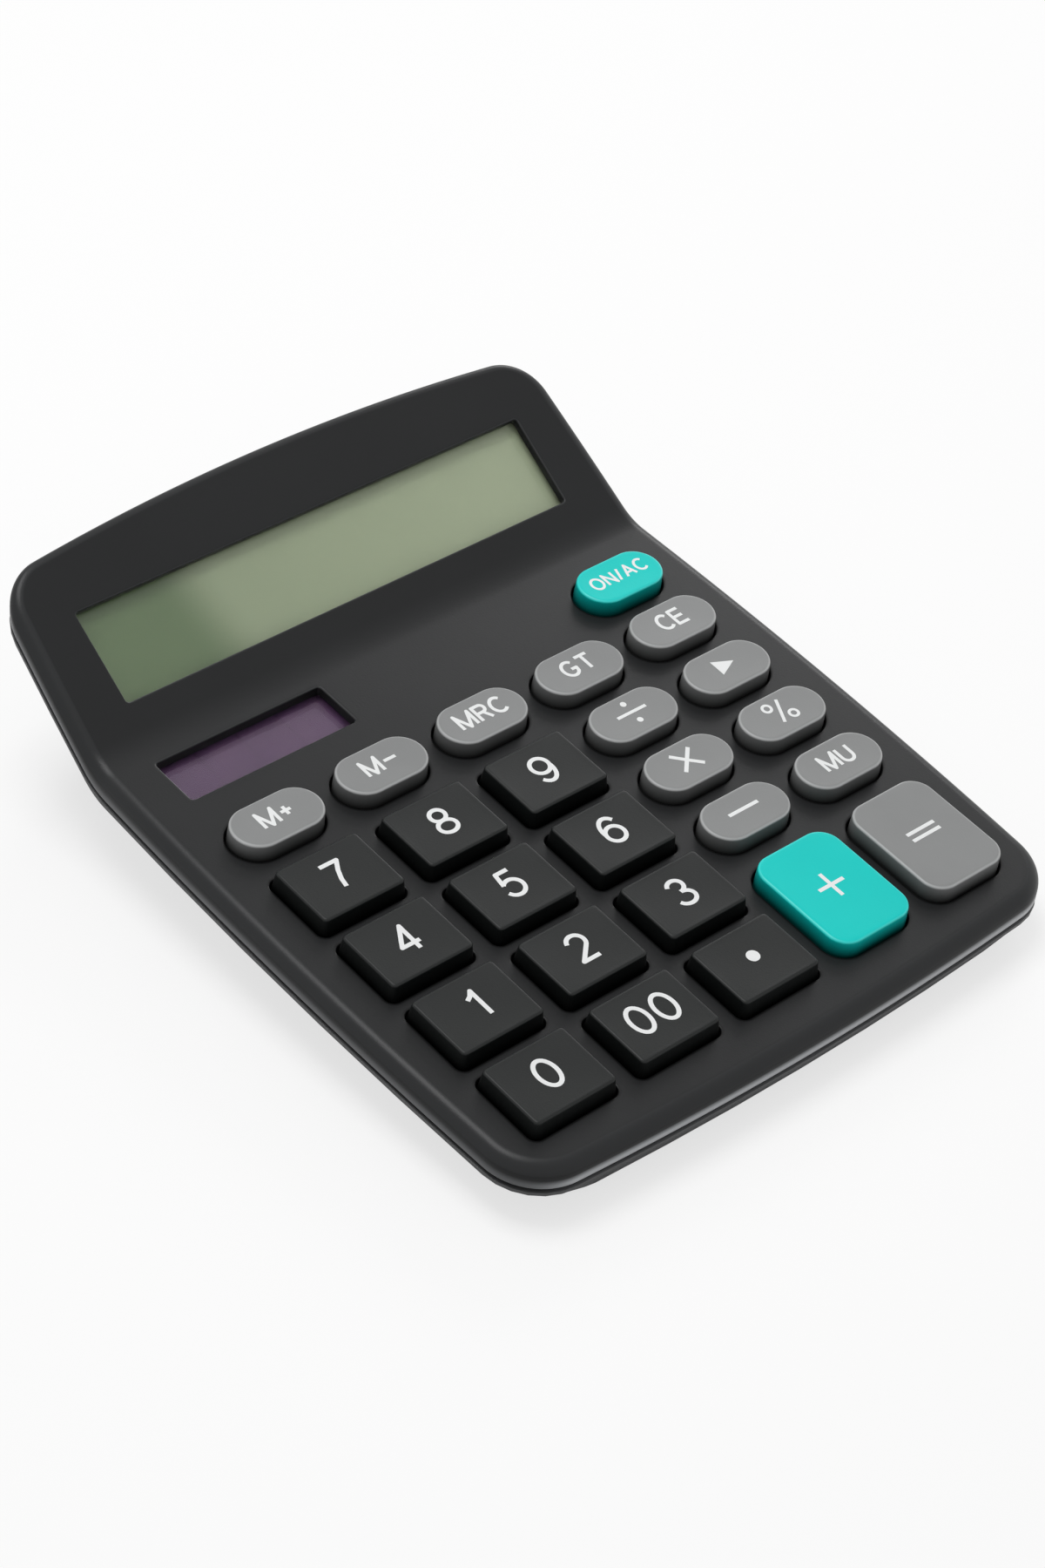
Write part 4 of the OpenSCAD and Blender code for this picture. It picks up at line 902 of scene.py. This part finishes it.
LCD_LEFT = (0.130, 0.176, 0.096)
LCD_RIGHT = (0.365, 0.402, 0.280)
LCD_STEP = (-0.022, -0.010)     # where along the panel, in metres, its tone steps up
LCD_RISE = (-0.020, 0.050)      # and where it rises slowly after that
LCD_LEAN = 0.33         # how far the step leans for each unit of height
LCD_GRAIN = 0.00035
LCD_GRAIN_SHARE = 0.02  # of a darker tone at the most
LCD_GRAIN_TONE = 0.8    # that tone, as a share of the left end's
PANEL_SHINE = 0.1
CLEAR_IOR = 1.3
WAVE_SIZE = 0.02
WAVE_DEPTH = 0.00002
WAVE_STRENGTH = 0.02


def clear_plastic(name, colour, roughness):
    """Clear moulded sheet with a faint waviness."""
    material, tree, shader = node_material(name)
    surface = surface_grain(tree, {"Grain Size": WAVE_SIZE, "Roughness": roughness, "Roughness Spread": 0.02})
    feed(tree, shader, {
        "Base Color": colour,
        "Roughness": surface["Roughness"],
        "Transmission Weight": 1.0,
        "IOR": CLEAR_IOR,
        "Normal": bump(tree, surface["Height"], WAVE_STRENGTH, WAVE_DEPTH),
    })
    return material


def panel_glass():
    """Grey-green polariser: a soft step in tone a third of the way along, then a slow rise, and the fine
    grain of its film."""
    material, tree, shader = node_material("lcd_polariser")
    place = coordinates(tree, "Object")
    along = calculate(tree, "MULTIPLY_ADD", place["Z"], LCD_LEAN, place["X"])
    middle = tuple((a + 2 * b) / 3 for a, b in zip(LCD_LEFT, LCD_RIGHT))
    right = blend_colour(tree, map_range(tree, along, LCD_RISE), middle, LCD_RIGHT)
    step = map_range(tree, along, LCD_STEP, interpolation_type="SMOOTHSTEP")
    tone = blend_colour(tree, step, LCD_LEFT, right)
    surface = surface_grain(tree, {"Grain Size": LCD_GRAIN, "Roughness": 0.35})
    share = calculate(tree, "MULTIPLY", surface["Height"], LCD_GRAIN_SHARE)
    feed(tree, shader, {
        "Base Color": blend_colour(tree, share, tone, scaled(LCD_LEFT, LCD_GRAIN_TONE)),
        "Roughness": surface["Roughness"],
        "Specular IOR Level": PANEL_SHINE,
    })
    return material


dress("display_lens", clear_plastic("clear_acrylic", (0.96, 0.98, 0.96), roughness=0.03))
dress("lcd_panel", panel_glass())
dress("lcd_holder", moulded("holder_abs", (0.62, 0.62, 0.59), roughness=0.5))
dress("lcd_flex", moulded("flex_film", (0.42, 0.21, 0.05), roughness=0.3))

# ------------------------------------------------------------------ solar cell
# A small amorphous silicon cell in four strips, behind a clear moulded window that is set in the deck.
# Its two leads run down to the circuit board.

STRIPS = 4
STRIP_GAP = 0.4         # line between two strips
GAP_DEPTH = 0.35        # share of the gap's colour in the middle of a line
SILICON_DARK = (0.066, 0.036, 0.082)
SILICON_LIGHT = (0.110, 0.062, 0.108)
GAP_COLOUR = (0.040, 0.022, 0.045)


def cell_material():
    """Purple-brown silicon: the place along the cell, folded every half strip, is the distance from the
    nearest line between two strips, and picks out those lines."""
    material, tree, shader = node_material("amorphous_silicon")
    surface = surface_grain(tree, {"Mottle Size": 0.012, "Roughness": 0.3})
    silicon = blend_colour(tree, surface["Mottle"], SILICON_DARK, SILICON_LIGHT)
    from_middle = calculate(tree, "SUBTRACT", coordinates(tree, "Object")["X"], SOLAR_X * MM)
    from_line = calculate(tree, "PINGPONG", from_middle, SOLAR_W / (2 * STRIPS) * MM)
    gap = map_range(tree, from_line, (0.0, STRIP_GAP * MM), (GAP_DEPTH, 0.0))
    feed(tree, shader, {
        "Base Color": blend_colour(tree, gap, silicon, GAP_COLOUR),
        "Roughness": surface["Roughness"],
        "Specular IOR Level": PANEL_SHINE,
    })
    return material


dress("solar_window", clear_plastic("clear_window", (0.97, 0.94, 0.98), roughness=0.04))
dress("solar_cell", cell_material())
dress("solar_leads", moulded("lead_pvc", (0.42, 0.03, 0.03), roughness=0.4))

# ------------------------------------------------------------------ feet and fixings
# Four die-cut rubber discs glued into shallow recesses of the base, and the zinc-plated steel screws
# that hold the case, the board and the display's holder.

steel = moulded("zinc_steel", (0.60, 0.60, 0.62), roughness=0.35, mottle=0.2)
steel.node_tree.nodes["Principled BSDF"].inputs["Metallic"].default_value = 1
rubber = moulded("foot_rubber", (0.018, 0.018, 0.019), roughness=0.8, grain=0.0006, depth=0.00006)
dress("rubber_feet", rubber)
for node in ("case_screws", "board_screws", "holder_screws"):
    dress(node, steel)

# ------------------------------------------------------------------ inside the case
# The silicone dome sheet, the circuit board with its chip and capacitor, and the battery with its
# contacts and leads. They only show in the gaps round the keys, or when the case is open.

dress("keypad_membrane", moulded("silicone", (0.030, 0.031, 0.033), roughness=0.6))
dress("main_board", moulded("solder_mask", (0.02, 0.12, 0.06), roughness=0.3))
dress("chip_blob", moulded("epoxy", (0.012, 0.012, 0.013), roughness=0.25))
dress("capacitor", moulded("capacitor_sleeve", (0.02, 0.03, 0.07), roughness=0.3))
dress("battery", moulded("cell_sleeve", (0.05, 0.16, 0.32), roughness=0.3))
dress("battery_leads", moulded("red_pvc", (0.42, 0.03, 0.03), roughness=0.4))
for node in ("battery_plate", "battery_spring"):
    dress(node, steel)
